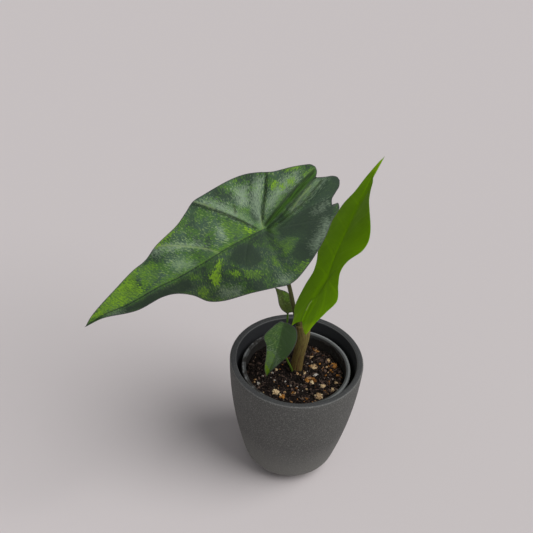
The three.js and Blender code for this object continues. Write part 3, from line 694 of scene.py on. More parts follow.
def moulded_plastic(settings):
    """Injection moulded polypropylene: it gives the nursery pot a soft sheen under smears of dried mix, with
    painted light on the outer edge of its rim and painted shade over the rest.
    """
    material, tree = new_material("moulded_polypropylene")
    place = add_node(tree, "TexCoord").outputs["Object"]
    x, y, z = add_node(tree, "SeparateXYZ", place).outputs
    # Smears of about 6 mm. The left side of the rim is the dirtier one, and the pot is darker below the top
    # of its rim.
    smears = {"Scale": 1 / (6.25 * MM), "Detail": 5, "Roughness": 0.65}
    dirt = add_node(tree, "TexNoise", place, sockets=smears)
    side = add_node(tree, "MapRange", x, -0.042, 0.01, 0.16, -0.1)
    below = add_node(tree, "MapRange", z, 0.099, 0.104, 0.3, 0)
    dirt_level = add_node(tree, "Math", dirt, side, operation="ADD")
    dirt_level = add_node(tree, "Math", dirt_level, below, operation="ADD")
    dirt_share = add_node(tree, "MapRange", dirt_level, 0.52, 0.66, 0, 0.9)
    # Painted light and shade: the rim keeps the plastic's lit colour at its outer edge only, and the rest of
    # the pot is painted as a shaded copy of it.
    flat = add_node(tree, "CombineXYZ", x, y)
    reach = add_node(tree, "VectorMath", flat, operation="LENGTH").outputs["Value"]
    colour = layered(
        tree, dimmed(settings.nursery_colour, 0.3),
        (add_node(tree, "MapRange", reach, 0.0428, 0.0436), settings.nursery_colour),
        (dirt_share, settings.stain_colour),
    )
    finish(tree, colour, add_node(tree, "MapRange", dirt_share, 0, 1, 0.38, 0.85), dirt, ior=1.49)
    return material


def crumbly(name, dark, light, roughness):
    """A crumbly natural grain whose tone varies from one chip to the next and across each."""
    material, tree = new_material(name)
    # Fine grains break up each chip.
    place = add_node(tree, "TexCoord").outputs["Object"]
    grains = {"Scale": 1 / (0.714 * MM), "Detail": 4, "Roughness": 0.7}
    grain = add_node(tree, "TexNoise", place, sockets=grains)
    colour = layered(tree, dark, (ragged(tree, "tone", grain, 0.45), light))
    finish(tree, colour, roughness, grain, strength=0.8, depth=0.0005, ior=1.4, specular=0.2)
    return material


def stalk_skin(name, colour, foot_colour, streak_colour, roughness, streaks):
    """Smooth plant stalk: fine long streaks in a satin skin, darker and browner towards the foot."""
    material, tree = new_material(name)
    turn = add_node(tree, "Attribute", attribute_name="turn").outputs["Vector"]
    along = add_node(tree, "Attribute", attribute_name="along").outputs["Fac"]
    # About fifty streaks lie round a stalk: 0.2 mm wide on a thin one and 0.6 mm on the stem.
    drawn_out = add_node(tree, "Mapping", turn, sockets={"Scale": (4, 4, 3)})
    streak = add_node(tree, "TexNoise", drawn_out, sockets={"Scale": 2.2, "Detail": 5, "Roughness": 0.7})
    place = add_node(tree, "TexCoord").outputs["Object"]
    fleck = add_node(tree, "TexNoise", place, sockets={"Scale": 1 / (2.38 * MM), "Detail": 3})
    flecked = layered(
        tree, colour,
        (add_node(tree, "MapRange", along, 0, 0.75, 1, 0), foot_colour),
        (add_node(tree, "MapRange", streak, 0.5, 0.66, 0, streaks), streak_colour),
        (add_node(tree, "MapRange", streak, 0.5, 0.36, 0, streaks), dimmed(foot_colour, 0.5)),
        (add_node(tree, "MapRange", fleck, 0.55, 0.7, 0, 0.35), dimmed(foot_colour, 0.45)),
    )
    finish(tree, flecked, roughness, streak, strength=0.4, ior=1.42, specular=0.35)
    return material


def mottled_blade(settings, name, scale=1, ribbing=1, shaded=0.38, tint=None):
    """Leathery leaf skin: dark grey green broken by mid green blotches, lime specks that follow the veins,
    listed lime patches and painted sheen, with painted shade on one half, beside the creases and in the
    midrib's groove, painted highlights along some folds, and a thin purple-grey edge."""
    material, tree = new_material(name)
    leaf, fan = (add_node(tree, "Attribute", attribute_name=label).outputs["Vector"]
                 for label in ("leaf_mm", "fan_mm"))
    rib, plain, light, vein, edge, strength = (
        add_node(tree, "Attribute", attribute_name=label).outputs["Fac"]
        for label in ("rib_mm", "plain_mm", "light_mm", "vein_mm", "edge_mm", "lime_share")
    )
    # Clouds, blotches and grit, by their size in millimetres.
    cloud, blotch, grit = (
        add_node(tree, "TexNoise", leaf,
                 sockets={"Scale": 1 / size, "Detail": detail, "Roughness": roughness})
        for size, detail, roughness in ((22.2 / scale, 3, 0.5), (9.09 / scale, 5, 0.6), (1.111, 4, 0.75))
    )
    # Specks, flecks and streaks, by their length along the veins and their width in millimetres.
    speck, fleck, streak = (
        add_node(tree, "TexNoise",
                 add_node(tree, "Mapping", fan, sockets={"Scale": (1 / length, 1 / width, 1)}),
                 sockets={"Scale": 1, "Detail": detail, "Roughness": roughness})
        for length, width, detail, roughness in (
            (2, 1.0526, 4, 0.62), (2.222, 1.25, 3, 0.7), (14.29, 1, 3, 0.6),
        )
    )
    # Plain areas keep little of the mottling.
    mottle = add_node(tree, "MapRange", plain, -1.5, 1.5, 1, 0.12)

    grey_share = where_all(tree, add_node(tree, "MapRange", cloud, 0.38, 0.62),
                           add_node(tree, "MapRange", mottle, 0.1, 1, 0.1, 1))
    mid_swing = add_node(tree, "MapRange", speck, 0.35, 0.65, -0.09, 0.09)
    mid_level = add_node(tree, "Math", blotch, mid_swing, operation="ADD")
    mid_share = where_all(tree, add_node(tree, "MapRange", mid_level, 0.47, 0.57, 0, 0.75), mottle)
    # Painted sheen lies in the listed sheen areas.
    sheen_level = ragged(tree, "bloom_mm", fleck, 4.5)
    sheen_share = where_all(tree, add_node(tree, "MapRange", sheen_level, -3, 4.5, 0, 0.9),
                            add_node(tree, "MapRange", cloud, 0.35, 0.65, 0.7, 1))
    fleck_share = where_all(tree, add_node(tree, "MapRange", fleck, 0.53, 0.63, 0, 0.62),
                            add_node(tree, "MapRange", cloud, 0.42, 0.58, 0.15, 1), mottle)
    speck_share = where_all(tree, add_node(tree, "MapRange", speck, 0.57, 0.64, 0, 0.6 * ribbing**0.6),
                            add_node(tree, "MapRange", blotch, 0.42, 0.52), mottle)
    # Specks, flecks and blotches break up each lime patch.
    lime_level = ragged(tree, "lime_mm", speck, 2.2 / scale)
    patch_share = where_all(tree, add_node(tree, "MapRange", lime_level, -0.8 / scale, 1 / scale), strength,
                            add_node(tree, "MapRange", fleck, 0.3, 0.62, 0.75, 1),
                            add_node(tree, "MapRange", speck, 0.36, 0.58, 0.6, 1),
                            add_node(tree, "MapRange", blotch, 0.38, 0.56, 0.78, 1))
    # A lime line runs beside the midrib on the right half, and a thinner one on the left.
    rib_level = ragged(tree, "rib_mm", fleck, 1.3)
    rib_right = where_all(tree, add_node(tree, "MapRange", rib, 0.3, 0.8),
                          add_node(tree, "MapRange", rib_level, 1.2, 2.6, 0.4, 0))
    rib_left = where_all(tree, add_node(tree, "MapRange", rib, -0.4, -0.9),
                         add_node(tree, "MapRange", rib_level, -1.5, -2.2, 0.25, 0))
    rib_line = add_node(tree, "Math", rib_right, rib_left, operation="MAXIMUM")
    lime_share = add_node(tree, "Math", speck_share, patch_share, operation="MAXIMUM")
    lime_share = add_node(tree, "Math", lime_share, where_all(tree, rib_line, ribbing), operation="MAXIMUM")
    # A patch passes through mid green at its edge before it turns lime.
    limed = add_node(tree, "MapRange", lime_share, 0.25, 0.75)
    lime = layered(tree, settings.mid_colour, (limed, settings.lime_colour))
    deep_dark = dimmed(settings.deep_colour, 0.35)
    deep = layered(tree, deep_dark, (add_node(tree, "MapRange", streak, 0.44, 0.56), settings.deep_colour))
    deep_level = ragged(tree, "deep_mm", speck, 0.8)
    # Painted highlights lie along the listed lines.
    highlight_swing = add_node(tree, "MapRange", fleck, 0.3, 0.7, -0.6, 0.9)
    highlight_level = add_node(tree, "Math", light, highlight_swing, operation="ADD")
    # Painted shade lies beside the listed creases.
    crease_shade_level = ragged(tree, "dark_mm", fleck, 0.25)
    # Painted shade darkens the left half, least on its lime and most in its plain areas.
    shade_share = where_all(tree, add_node(tree, "MapRange", rib, -1.5, 0.5, shaded, 0),
                            add_node(tree, "MapRange", lime_share, 0.1, 0.9, 1, 0.4),
                            add_node(tree, "MapRange", plain, 2, 9, 1, 1.5))
    # Painted shade darkens the midrib's groove.
    groove_shade_share = where_all(tree, add_node(tree, "MapRange", rib, -0.7, -0.1),
                             add_node(tree, "MapRange", rib, 0.6, 0.1, 0, 0.7 * ribbing))
    colour = layered(
        tree, settings.dark_colour,
        (grey_share, settings.grey_colour),
        (mid_share, settings.mid_colour),
        *([(0.65, tint)] if tint else []),
        # Painted sheen over the mottling.
        (sheen_share, settings.sheen_and_vein_colour),
        (fleck_share, settings.fleck_colour),
        (add_node(tree, "MapRange", lime_share, 0, 0.7), lime),
        (add_node(tree, "MapRange", deep_level, -0.8, 1, 0, 0.9), deep),
        # Painted highlights run as pale lines along some folds, and painted shade lies in soft dark lines
        # beside the creases.
        (add_node(tree, "MapRange", highlight_level, 0.2, 0.9, 0.4, 0), settings.fold_highlight_colour),
        (add_node(tree, "MapRange", crease_shade_level, 0.1, 1.6, 0.75, 0), settings.crease_shade_colour),
        (shade_share, dimmed(settings.dark_colour, 0.45)),
        # Dark grit keeps the lime from reading as flat paint.
        (add_node(tree, "MapRange", grit, 0.58, 0.72, 0, 0.6), settings.dark_colour),
        (groove_shade_share, settings.crease_shade_colour),
        (add_node(tree, "MapRange", vein, 0.2, 0.9, 0.03, 0), settings.sheen_and_vein_colour),
        (add_node(tree, "MapRange", edge, 0.2, 0.8, 0.8, 0), settings.edge_colour),
    )
    roughness = add_node(tree, "MapRange", sheen_share, 0, 0.8, 0.66, 0.48)
    finish(tree, colour, roughness, grit, strength=0.35, specular=0.3)
    return material


def plain_blade(name, colour, vein_colour, patch_colour, roughness, specular):
    """Soft leaf skin of one green, paler along the veins and in its few patches, with painted shade in some
    areas and beside some folds, and a painted highlight along some folds.
    """
    material, tree = new_material(name)
    leaf, fan = (add_node(tree, "Attribute", attribute_name=label).outputs["Vector"]
                 for label in ("leaf_mm", "fan_mm"))
    lime, strength, bloom, vein, dark, light = (
        add_node(tree, "Attribute", attribute_name=label).outputs["Fac"]
        for label in ("lime_mm", "lime_share", "bloom_mm", "vein_mm", "dark_mm", "light_mm")
    )
    # Clouds of about 12 mm, and streaks 2 mm wide and 17 mm long along the veins.
    cloud = add_node(tree, "TexNoise", leaf, sockets={"Scale": 1 / 12.5, "Detail": 4})
    drawn_out = add_node(tree, "Mapping", fan, sockets={"Scale": (1 / 16.67, 1 / 2, 1)})
    streak = add_node(tree, "TexNoise", drawn_out, sockets={"Scale": 1, "Detail": 4, "Roughness": 0.6})
    lined = layered(
        tree, colour,
        (add_node(tree, "MapRange", cloud, 0.35, 0.65, 0, 0.4), dimmed(colour, 0.72)),
        # Painted shade in the listed areas.
        (add_node(tree, "MapRange", bloom, -2, 2, 0, 0.7), dimmed(colour, 0.5)),
        (add_node(tree, "MapRange", streak, 0.5, 0.75, 0, 0.35), vein_colour),
        (add_node(tree, "MapRange", vein, 0.3, 1.6, 0.12, 0), vein_colour),
        (where_all(tree, add_node(tree, "MapRange", lime, -2, 1.5), strength), patch_colour),
        # Painted shade beside the listed folds.
        (add_node(tree, "MapRange", dark, 0.2, 1.4, 0.6, 0), dimmed(colour, 0.3)),
        # Painted highlight along the listed lines.
        (add_node(tree, "MapRange", light, 0.2, 0.9, 0.6, 0), linear("b4c47c")),
    )
    finish(tree, lined, roughness, streak, specular=specular)
    return material


# Blades

def blade_axes(leaf):
    tip = Vector(leaf["tip_direction"]).normalized()
    left = Vector(leaf["face_direction"]).cross(tip).normalized()
    return tip, left, tip.cross(left)


def blade_height(leaf, x, y):
    """The height of the blade's middle surface over its own plane, without the relief between veins."""
    ahead = leaf["crown"] * np.sin(np.pi * np.clip(x / leaf["tip"][0], 0, 1)) - leaf["droop"] * x * x
    along = np.where(x > 0, ahead, leaf["lobe_rise"] * x * x)
    tip_fold = np.where(y > 0, leaf["left"].get("tip_fold", 0), leaf["right"].get("tip_fold", 0))
    folded = np.where(tip_fold == 0, 0, smooth_step(0.15, 0.55, x / leaf["tip"][0]))
    slope = leaf["fold"] * (1 - folded) + tip_fold * folded
    return along + slope * (np.sqrt(y * y + 1) - 1) - leaf["curl"] * y * y * (1 - folded)


def blade_relief(leaf, half, places, row):
    """The pleated relief between veins, and the distances from vein, blade axis and midrib."""
    sign = 1 if half == "right" else -1
    veins = [even_points(smooth_curve(vein), 24) for vein in leaf[half]["veins"]]
    gaps, sides = zip(*(line_distance(places, vein) for vein in veins))
    behind = np.sum([side * sign < 0 for side in sides], axis=0)
    tip_x, tip_y = leaf["tip"]
    spine = np.array([(tip_x * s, tip_y * s * s) for s in np.linspace(1, 0, 24)] + [leaf["notch"]], float)
    spine_gap, _ = line_distance(places, spine)
    seam_gap, _ = line_distance(places, spine[-2:])
    # Each panel lies between two veins. The last one ends 6 mm past the seam between the lobes.
    bounds = np.stack([np.full(len(places), FAR), *gaps, seam_gap + 6])
    columns = np.arange(len(places))
    ahead_gap = bounds[behind, columns]
    behind_gap = bounds[behind + 1, columns]
    share = behind_gap / (behind_gap + ahead_gap + 1e-9)
    # A panel without heights of its own drops steeply from the vein nearer the lobe.
    ridges = np.array(leaf[half].get("ridges", [0] * (len(veins) + 2)))
    sags = np.array(leaf[half].get("sags", [(-leaf[half].get("panel_depth", 0), 0.45)] * (len(veins) + 1)))
    sag = sags[behind, 0] * np.sin(np.pi * share ** sags[behind, 1])
    sag *= 1 - np.exp(-(behind_gap + ahead_gap) / PANEL_WIDTH)
    pleat = ridges[behind + 1] * (1 - share) + ridges[behind] * share + sag
    relief = pleat * (1 - np.exp(-spine_gap / PLEAT_START)) * (1 - 0.5 * row**4)
    vein_gap = np.min(gaps, axis=0)
    midrib_gap, midrib_side = line_distance(places, even_points(smooth_curve(leaf["midrib"]), 60))
    for line, height, width in leaf["folds"]:
        distance, _ = line_distance(places, even_points(smooth_curve(line), 30))
        relief += height * np.exp(-((distance / width) ** 2)) * (1 - 0.5 * row**4)
    # The grooves over the ribs run out where they meet the stalk.
    groove = leaf["groove"] * (1 - 0.8 * np.exp(-((np.linalg.norm(places, axis=1) / 5) ** 2)))
    vein_groove = 0.35 * np.exp(-((vein_gap / GROOVE_WIDTH) ** 2)) * (1 - row**4)
    relief -= groove * (vein_groove + np.exp(-((midrib_gap / GROOVE_WIDTH) ** 2)))
    return relief, vein_gap, spine_gap, -midrib_gap * midrib_side


def blade_half(leaf, half, thickness):
    """One half of a blade as grids of points over and under it, with what its material needs."""
    outer_count, inner_count = leaf["columns"]
    rows = np.linspace(0, 1, leaf["rows"] + 1)
    outer = even_points(smooth_curve(leaf[half]["outer"]), outer_count)
    inner = even_points(smooth_curve(leaf[half]["inner"]), inner_count)[1:]
    margin = np.vstack([outer, inner])
    # Each row of points starts on the blade's axis, or behind the junction on the seam between the lobes.
    tip_x, tip_y = leaf["tip"]
    share = np.linspace(0, 1, outer_count + 1)
    x = tip_x * (1 - np.minimum(share / leaf["fan_start"], 1))
    back = np.arange(1, inner_count + 1) / inner_count
    origin = np.vstack([np.stack([x, tip_y * (x / tip_x) ** 2], axis=1), np.outer(back, leaf["notch"])])
    rib = np.concatenate([1 - x / tip_x, 1 - back])
    share = np.concatenate([share, np.ones(inner_count)])
    length = np.linalg.norm(margin - origin, axis=1)
    # The edge stays a little inside the outline, which is the solid's.
    margin = origin + (margin - origin) * (1 - EDGE_INSET / np.maximum(length, 1))[:, None]
    around = np.concatenate([[0], np.cumsum(np.linalg.norm(np.diff(margin, axis=0), axis=1))])

    grid = origin[:, None, :] + (margin - origin)[:, None, :] * rows[None, :, None]
    # The rows bow a little towards the tip.
    swell = 4 * rows * (1 - rows)
    grid[:, :, 0] += 0.07 * swell[None, :] * (np.sin(np.pi * share) * length)[:, None]
    places = grid.reshape(-1, 2)
    row = np.tile(rows, len(margin))
    relief, vein_gap, spine_gap, rib_gap = blade_relief(leaf, half, places, row)
    wave = leaf["edge_wave"] * row**2 * np.sin(4 * np.pi * np.repeat(share, len(rows)))

    def height(dx, dy):
        return blade_height(leaf, places[:, 0] + dx, places[:, 1] + dy)

    # The slopes are taken over one millimetre.
    slopes = [height(-0.5, 0) - height(0.5, 0), height(0, -0.5) - height(0, 0.5)]
    normal = np.stack([*slopes, np.ones(len(places))], axis=1)
    normal /= np.linalg.norm(normal, axis=1)[:, None]
    edge_gap, _ = line_distance(places, margin)
    middle = np.column_stack([places, height(0, 0) + relief + wave])
    half_thick = thickness / 2 * (0.35 + 0.65 * (1 - np.exp(-edge_gap / 1.5)))
    rib_drop = (leaf["rib_depth"] * np.repeat(rib, len(rows)) * np.exp(-((spine_gap / 1.4) ** 2))
                + 0.35 * np.exp(-((vein_gap / GROOVE_WIDTH) ** 2)) * (1 - row**2))
    top = middle + normal * half_thick[:, None]
    bottom = middle - normal * (half_thick + rib_drop)[:, None]
    lime = area_depths(places, [corners for _, corners in leaf["lime"]])
    lime_shares = np.array([0, *(strength for strength, _ in leaf["lime"])], float)
    still = np.zeros(len(places))
    # The two halves read different parts of the noise.
    offset = 0 if half == "left" else 400
    extras = {
        "leaf_mm": np.column_stack([places, still]),
        "fan_mm": np.column_stack([row * np.repeat(length, len(rows)),
                                   np.repeat(around, len(rows)) + offset, still]),
        "vein_mm": vein_gap,
        "rib_mm": rib_gap,
        "edge_mm": edge_gap,
        "lime_mm": lime.max(axis=0),
        "lime_share": lime_shares[lime.argmax(axis=0)],
        "light_mm": nearest_line(places, leaf["highlight_lines"]),
        "dark_mm": nearest_line(places, leaf["shade_lines"]),
    }
    for kind in ("bloom", "deep", "plain"):
        extras[kind + "_mm"] = area_depths(places, leaf[kind]).max(axis=0)
    return top, bottom, extras


def add_blade(name, leaf, materials, thickness):
    """A leaf blade: closed, with its own skin above and below."""
    points, quads, lower_faces = [], [], []
    gathered = {}
    start = 0
    rows = leaf["rows"] + 1
    for half in ("left", "right"):
        top, bottom, extras = blade_half(leaf, half, thickness)
        count = len(top)
        for a in range(start, start + count - rows, rows):
            b = a + rows
            for j in range(rows - 1):
                quad = (a + j, a + j + 1, b + j + 1, b + j)
                if half == "right":
                    quad = (quad[0], *quad[:0:-1])
                quads += [quad, tuple(c + count for c in reversed(quad))]
                lower_faces += [0, 1]
            rim = (b - 1, b - 1 + count, b + rows - 1 + count, b + rows - 1)
            quads.append(rim if half == "left" else rim[::-1])
            lower_faces.append(0)
        points += [top, bottom]
        for label, values in extras.items():
            gathered.setdefault(label, []).extend([values, values])
        start += 2 * count
    extras = {label: np.concatenate(values) for label, values in gathered.items()}
    points, faces, extras, kept = welded(np.vstack(points), quads, extras)
    points = points @ np.array(blade_axes(leaf)) + np.array(leaf["junction"])
    piece = add_piece(name + "_leaf", points, faces, materials, extras, [lower_faces[k] for k in kept])
    dress(piece, [name])


# Stalks, sheath and potting mix

def stalk_line(leaf, axis, radii):
    """The stalk's centre line, up to the blade it carries."""
    _, _, face = blade_axes(leaf)
    gap = CAD_BLADE["thickness"] / 2 + leaf["rib_depth"] + CAD_BLADE["clearance"]
    junction = Vector(leaf["junction"])
    top = junction - face * gap
    bend = top - face * 2.5 * radii[1]
    line = even_points(smooth_curve([*axis, tuple(bend), tuple(top)]), 70)
    return np.vstack([line, np.array(junction - face * (gap * 0.8))])


def mix_level(x, y):
    """The height of the mix without its crumbs."""
    lumps = math.sin(0.34 * x + 1.1) * math.cos(0.29 * y - 0.4) + 0.6 * math.sin(0.62 * x - 0.51 * y + 2)
    return MIX["level"] - MIX["fall"] * (x + y) / NURSERY_POT["rim"] + MIX["lumps"] * lumps


def nursery_inner(z):
    """The inner radius of the nursery pot at a height."""
    shoulder_z = NURSERY_POT["top_z"] - NURSERY_POT["rim_height"]
    shoulder = NURSERY_POT["rim"] - NURSERY_POT["rim_width"] + NURSERY_POT["wall"]
    share = min((z - NURSERY_POT["base_z"]) / (shoulder_z - NURSERY_POT["base_z"]), 1)
    return NURSERY_POT["base"] + (shoulder - NURSERY_POT["base"]) * share - NURSERY_POT["wall"]


def ball(divisions):
    """Corners and faces of a unit ball made of triangles."""
    golden = (1 + 5**0.5) / 2
    corners = [(-1, golden, 0), (1, golden, 0), (-1, -golden, 0), (1, -golden, 0), (0, -1, golden),
               (0, 1, golden), (0, -1, -golden), (0, 1, -golden), (golden, 0, -1), (golden, 0, 1),
               (-golden, 0, -1), (-golden, 0, 1)]
    faces = [(0, 11, 5), (0, 5, 1), (0, 1, 7), (0, 7, 10), (0, 10, 11), (1, 5, 9), (5, 11, 4), (11, 10, 2),
             (10, 7, 6), (7, 1, 8), (3, 9, 4), (3, 4, 2), (3, 2, 6), (3, 6, 8), (3, 8, 9), (4, 9, 5),
             (2, 4, 11), (6, 2, 10), (8, 6, 7), (9, 8, 1)]
    corners = [Vector(c).normalized() for c in corners]
    for _ in range(divisions):
        middles, finer = {}, []
        for a, b, c in faces:
            halves = []
            for p, q in ((a, b), (b, c), (c, a)):
                key = (min(p, q), max(p, q))
                if key not in middles:
                    middles[key] = len(corners)
                    corners.append((corners[p] + corners[q]).normalized())
                halves.append(middles[key])
            ab, bc, ca = halves
            finer += [(a, ab, ca), (b, bc, ab), (c, ca, bc), (ab, bc, ca)]
        faces = finer
    return np.array([tuple(c) for c in corners]), faces


def chips_piece(name, chips, divisions, ruggedness, material, draw):
    """One piece from many rough chips; each is x, y, radius, stretch, flatness, rise and tone."""
    corners, faces = ball(divisions)
    points, all_faces, tones = [], [], []
    for x, y, radius, stretch, flatness, rise, tone in chips:
        seed = Vector([draw.uniform(-50, 50) for _ in range(3)])
        rough = np.array([1 + ruggedness * noise.noise(Vector(c) * 1.6 + seed)
                          + 0.5 * ruggedness * noise.noise(Vector(c) * 4 + seed) for c in corners])
        shape = corners * rough[:, None] * radius * np.array([stretch, 1 / stretch**0.5, flatness])
        turn = np.array(Matrix.Rotation(draw.uniform(0, 6.28), 3, "Z")
                        @ Matrix.Rotation(draw.uniform(-0.35, 0.35), 3, "X"))
        start = len(points) * len(corners)
        points.append(shape @ turn.T + np.array([x, y, mix_level(x, y) + rise * radius]))
        all_faces += [tuple(c + start for c in face) for face in faces]
        tones += [tone] * len(corners)
    piece = add_piece(name, np.vstack(points), all_faces, [material], {"tone": tones}, smooth=divisions > 1)
    dress(piece, [])


def scattered(draw, count, reach, taken, clear):
    """Places spread over the mix, away from those already taken."""
    places = []
    for _ in range(count * 20):
        if len(places) == count:
            break
        r = reach * math.sqrt(draw.random())
        a = draw.uniform(0, 2 * math.pi)
        x, y = r * math.cos(a), r * math.sin(a)
        if all(math.hypot(x - px, y - py) > clear + pr for px, py, pr in taken):
            places.append((x, y))
    return places


class ALOCASIA_OT_outer_pot(bpy.types.Operator):
    """Builds the smooth round outer pot"""

    bl_idname = "alocasia.outer_pot"
    bl_label = "Outer pot"

    def execute(self, context):
        settings = context.scene.alocasia_pots
        height, rim, base, bulge, wall, floor = OUTER_POT.values()
        outside, inside, lip = OUTER_CORNER.values()

        def radius(z):
            share = z / height
            return base + (rim - base) * share + bulge * 4 * share * (1 - share)

        # The bottom corner runs smoothly into the leaning wall.
        lean = math.atan((radius(outside) - radius(outside - 10)) / 10)
        join = outside * (1 - math.sin(lean))
        corner = (radius(join) - outside * math.cos(lean), outside)
        shell = [*arc(corner, outside, -90, -math.degrees(lean), 16),
                 *[(radius(z), z) for z in np.linspace(join, height - lip, 24)[1:-1]]]
        outer_lip = arc((radius(height - lip) - lip, height - lip), lip, 0, 90, 8)
        inner_lip = arc((radius(height - lip) - wall + lip, height - lip), lip, 90, 180, 8)
        lining = [*[(radius(z) - wall, z) for z in np.linspace(height - lip, floor + inside, 20)[1:-1]],
                  *arc((radius(floor + inside) - wall - inside, floor + inside), inside, 0, -90, 10)]
        points, faces = turned([(0, 0), *shell, *outer_lip, *inner_lip, *lining, (0, floor)], settings.sides)
        # Painted shade darkens the rim point by point round its two lips and all of the inside, and painted
        # highlights lie on two of its edges. The last two numbers are for the points on the axis.
        lined = [*[0] * len(shell), *[0] * 6, *[0.7] * 9, *[1] * 3, *[1] * len(lining)]
        lip_highlight = [*[0] * len(shell), *[0] * 3, 0.25, 0.25, *[0] * 8, 0.5, *[0] * 4, *[0] * len(lining)]
        extras = {"inside": np.append(np.repeat(lined, settings.sides), [0, 1]),
                  "lip_highlight": np.append(np.repeat(lip_highlight, settings.sides), [0, 0])}
        piece = add_piece("outer_pot_body", points, faces, [stoneware(settings)], extras)
        dress(piece, ["outer_pot"])
        return {"FINISHED"}


class ALOCASIA_OT_nursery_pot(bpy.types.Operator):
    """Builds the thin plastic nursery pot with its drain holes"""

    bl_idname = "alocasia.nursery_pot"
    bl_label = "Nursery pot"

    def execute(self, context):
        settings = context.scene.alocasia_pots
        base_z, top_z, rim, width, rim_height, wall, base = NURSERY_POT.values()
        shoulder, shoulder_z = rim - width + wall, top_z - rim_height
        bevel, rounding = 1.5, 0.8
        profile = [(0, base_z), (base - bevel, base_z), (base, base_z + bevel), (shoulder, shoulder_z),
                   (rim - 0.6, shoulder_z + 0.1), (rim, shoulder_z + 0.7),
                   *arc((rim - rounding, top_z - rounding), rounding, 0, 90, 6),
                   *arc((rim - width + rounding, top_z - rounding), rounding, 90, 180, 6),
                   (rim - width, shoulder_z + 2.2), (shoulder - wall, shoulder_z),
                   (base - wall - 0.5, base_z + wall + 0.5), (base - wall - 1, base_z + wall),
                   (0, base_z + wall)]
        points, faces = turned(profile, settings.sides)
        piece = add_piece("nursery_pot_body", points, faces, [moulded_plastic(settings)])
        count, hole, ring = (DRAIN_HOLES[label] for label in ("count", "radius", "ring"))
        for k in range(count):
            angle = 2 * math.pi * k / count
            place = (ring * MM * math.cos(angle), ring * MM * math.sin(angle), base_z * MM)
            bpy.ops.mesh.primitive_cylinder_add(vertices=40, radius=hole * MM, depth=6 * MM, location=place)
            cutter = context.active_object
            cut = piece.modifiers.new("drain_hole", "BOOLEAN")
            cut.operation = "DIFFERENCE"
            cut.object = cutter
            context.view_layer.objects.active = piece
            bpy.ops.object.modifier_apply(modifier=cut.name)
            bpy.data.objects.remove(cutter)
        dress(piece, ["nursery_pot"])
        return {"FINISHED"}


class ALOCASIA_OT_potting_mix(bpy.types.Operator):
    """Builds the potting mix with its crumbs, bark, pumice and perlite"""

    bl_idname = "alocasia.potting_mix"
    bl_label = "Potting mix"

    def execute(self, context):
        settings = context.scene.alocasia_mix
        draw = random.Random(11)
        rings, spokes = 56, 150
        reach = nursery_inner(MIX["level"]) - 0.6
        profile = [(0, MIX["floor_z"]), (nursery_inner(MIX["floor_z"]) - 1.3, MIX["floor_z"])]
        profile += [(reach * (1 - k / rings), 0) for k in range(rings)] + [(0, 0)]
        points, faces = turned(profile, spokes)
        for k, (x, y, z) in enumerate(points):
            # The points at zero are those of the mix's crumbly top.
            if z == 0:
                crumb = noise.noise(Vector((x, y, 0)) * 0.55) + 0.7 * noise.noise(Vector((x, y, 9)) * 1.3)
                points[k] = (x, y, mix_level(x, y) + 0.8 * crumb - 0.3)
        peat = crumbly("moist_peat", dimmed(settings.peat_colour, 0.6), settings.peat_colour, 0.85)
        piece = add_piece("potting_mix", points, faces, [peat], {"tone": [0.5] * len(points)})
        dress(piece, ["soil"])

        chips = {"crumbs": [], "bark": [], "pumice": [], "perlite": []}
        taken = list(STALK_FEET)
        for kind, x, y, radius in PLACED_CHIPS:
            flat = CHIP_FLATNESS[kind]
            taken.append((x, y, radius * 0.8))
            # A chip is a rough core with broken pieces round it; the biggest one is hollow.
            hollow = radius > 4
            core = radius * (0.3 if hollow else 0.75)
            chips[kind].append((x, y, core, draw.uniform(1, 1.3), flat, 0.1,
                                0.1 if hollow else draw.uniform(0.2, 0.7)))
            count = 9 if hollow else int(2.2 * radius)
            for k in range(count):
                turn = 2 * math.pi * k / count + draw.uniform(-0.4, 0.4)
                part = radius * draw.uniform(0.26, 0.42)
                px, py = x + 0.7 * radius * math.cos(turn), y + 0.7 * radius * math.sin(turn)
                mixed = draw.choice([kind, kind, "pumice"])
                chips[mixed].append((px, py, part, draw.uniform(1, 1.6), flat, 0.5, draw.uniform(0.1, 1)))
        for x, y in scattered(draw, settings.grains, reach - 1, taken, 0.5):
            # Most grains lie on the right and in front.
            if draw.random() > 0.1 + 0.9 * (0.5 + 0.5 * (x - 0.4 * y) / reach):
                continue
            kind = draw.choice(["bark", "pumice", "pumice", "perlite"])
            radius = 0.3 + 0.6 * draw.random() ** 1.5
            chips[kind].append((x, y, radius, draw.uniform(1, 1.6), 0.7, 0.3, draw.uniform(-0.3, 0.5)))
        for x, y in scattered(draw, settings.crumbs, reach - 0.8, STALK_FEET, 0.3):
            radius = 0.5 + 1.1 * draw.random() ** 2
            # More of the crumbs on the right are pale.
            pale = 0.9 * draw.random() ** (3.2 if x > 6 else 7)
            chips["crumbs"].append((x, y, radius, draw.uniform(1, 1.7), 0.7, draw.uniform(-0.1, 0.35), pale))
        for x, y in scattered(draw, settings.splinters, reach - 2.5, STALK_FEET, 1):
            chips["crumbs"].append((x, y, draw.uniform(0.5, 0.8), draw.uniform(2, 3.4), 0.5, 0.5,
                                    draw.uniform(0.1, 0.8)))
        for name, kind, divisions, ruggedness, grain, dark, light, roughness in (
            ("bark_crumbs", "crumbs", 0, 0.5, "composted_bark_crumbs", "0e0a09", linear("6a564c"), 0.85),
            ("bark_chips", "bark", 2, 0.8, "pine_bark_chips", "4a260c", settings.bark_colour, 0.75),
            ("pumice_chips", "pumice", 2, 0.7, "cream_pumice", "84572c", settings.pumice_colour, 0.85),
            ("perlite_grains", "perlite", 2, 0.5, "expanded_perlite", "6e655c", settings.perlite_colour, 0.9),
        ):
            material = crumbly(grain, linear(dark), light, roughness)
            chips_piece(name, chips[kind], divisions, ruggedness, material, draw)
        return {"FINISHED"}


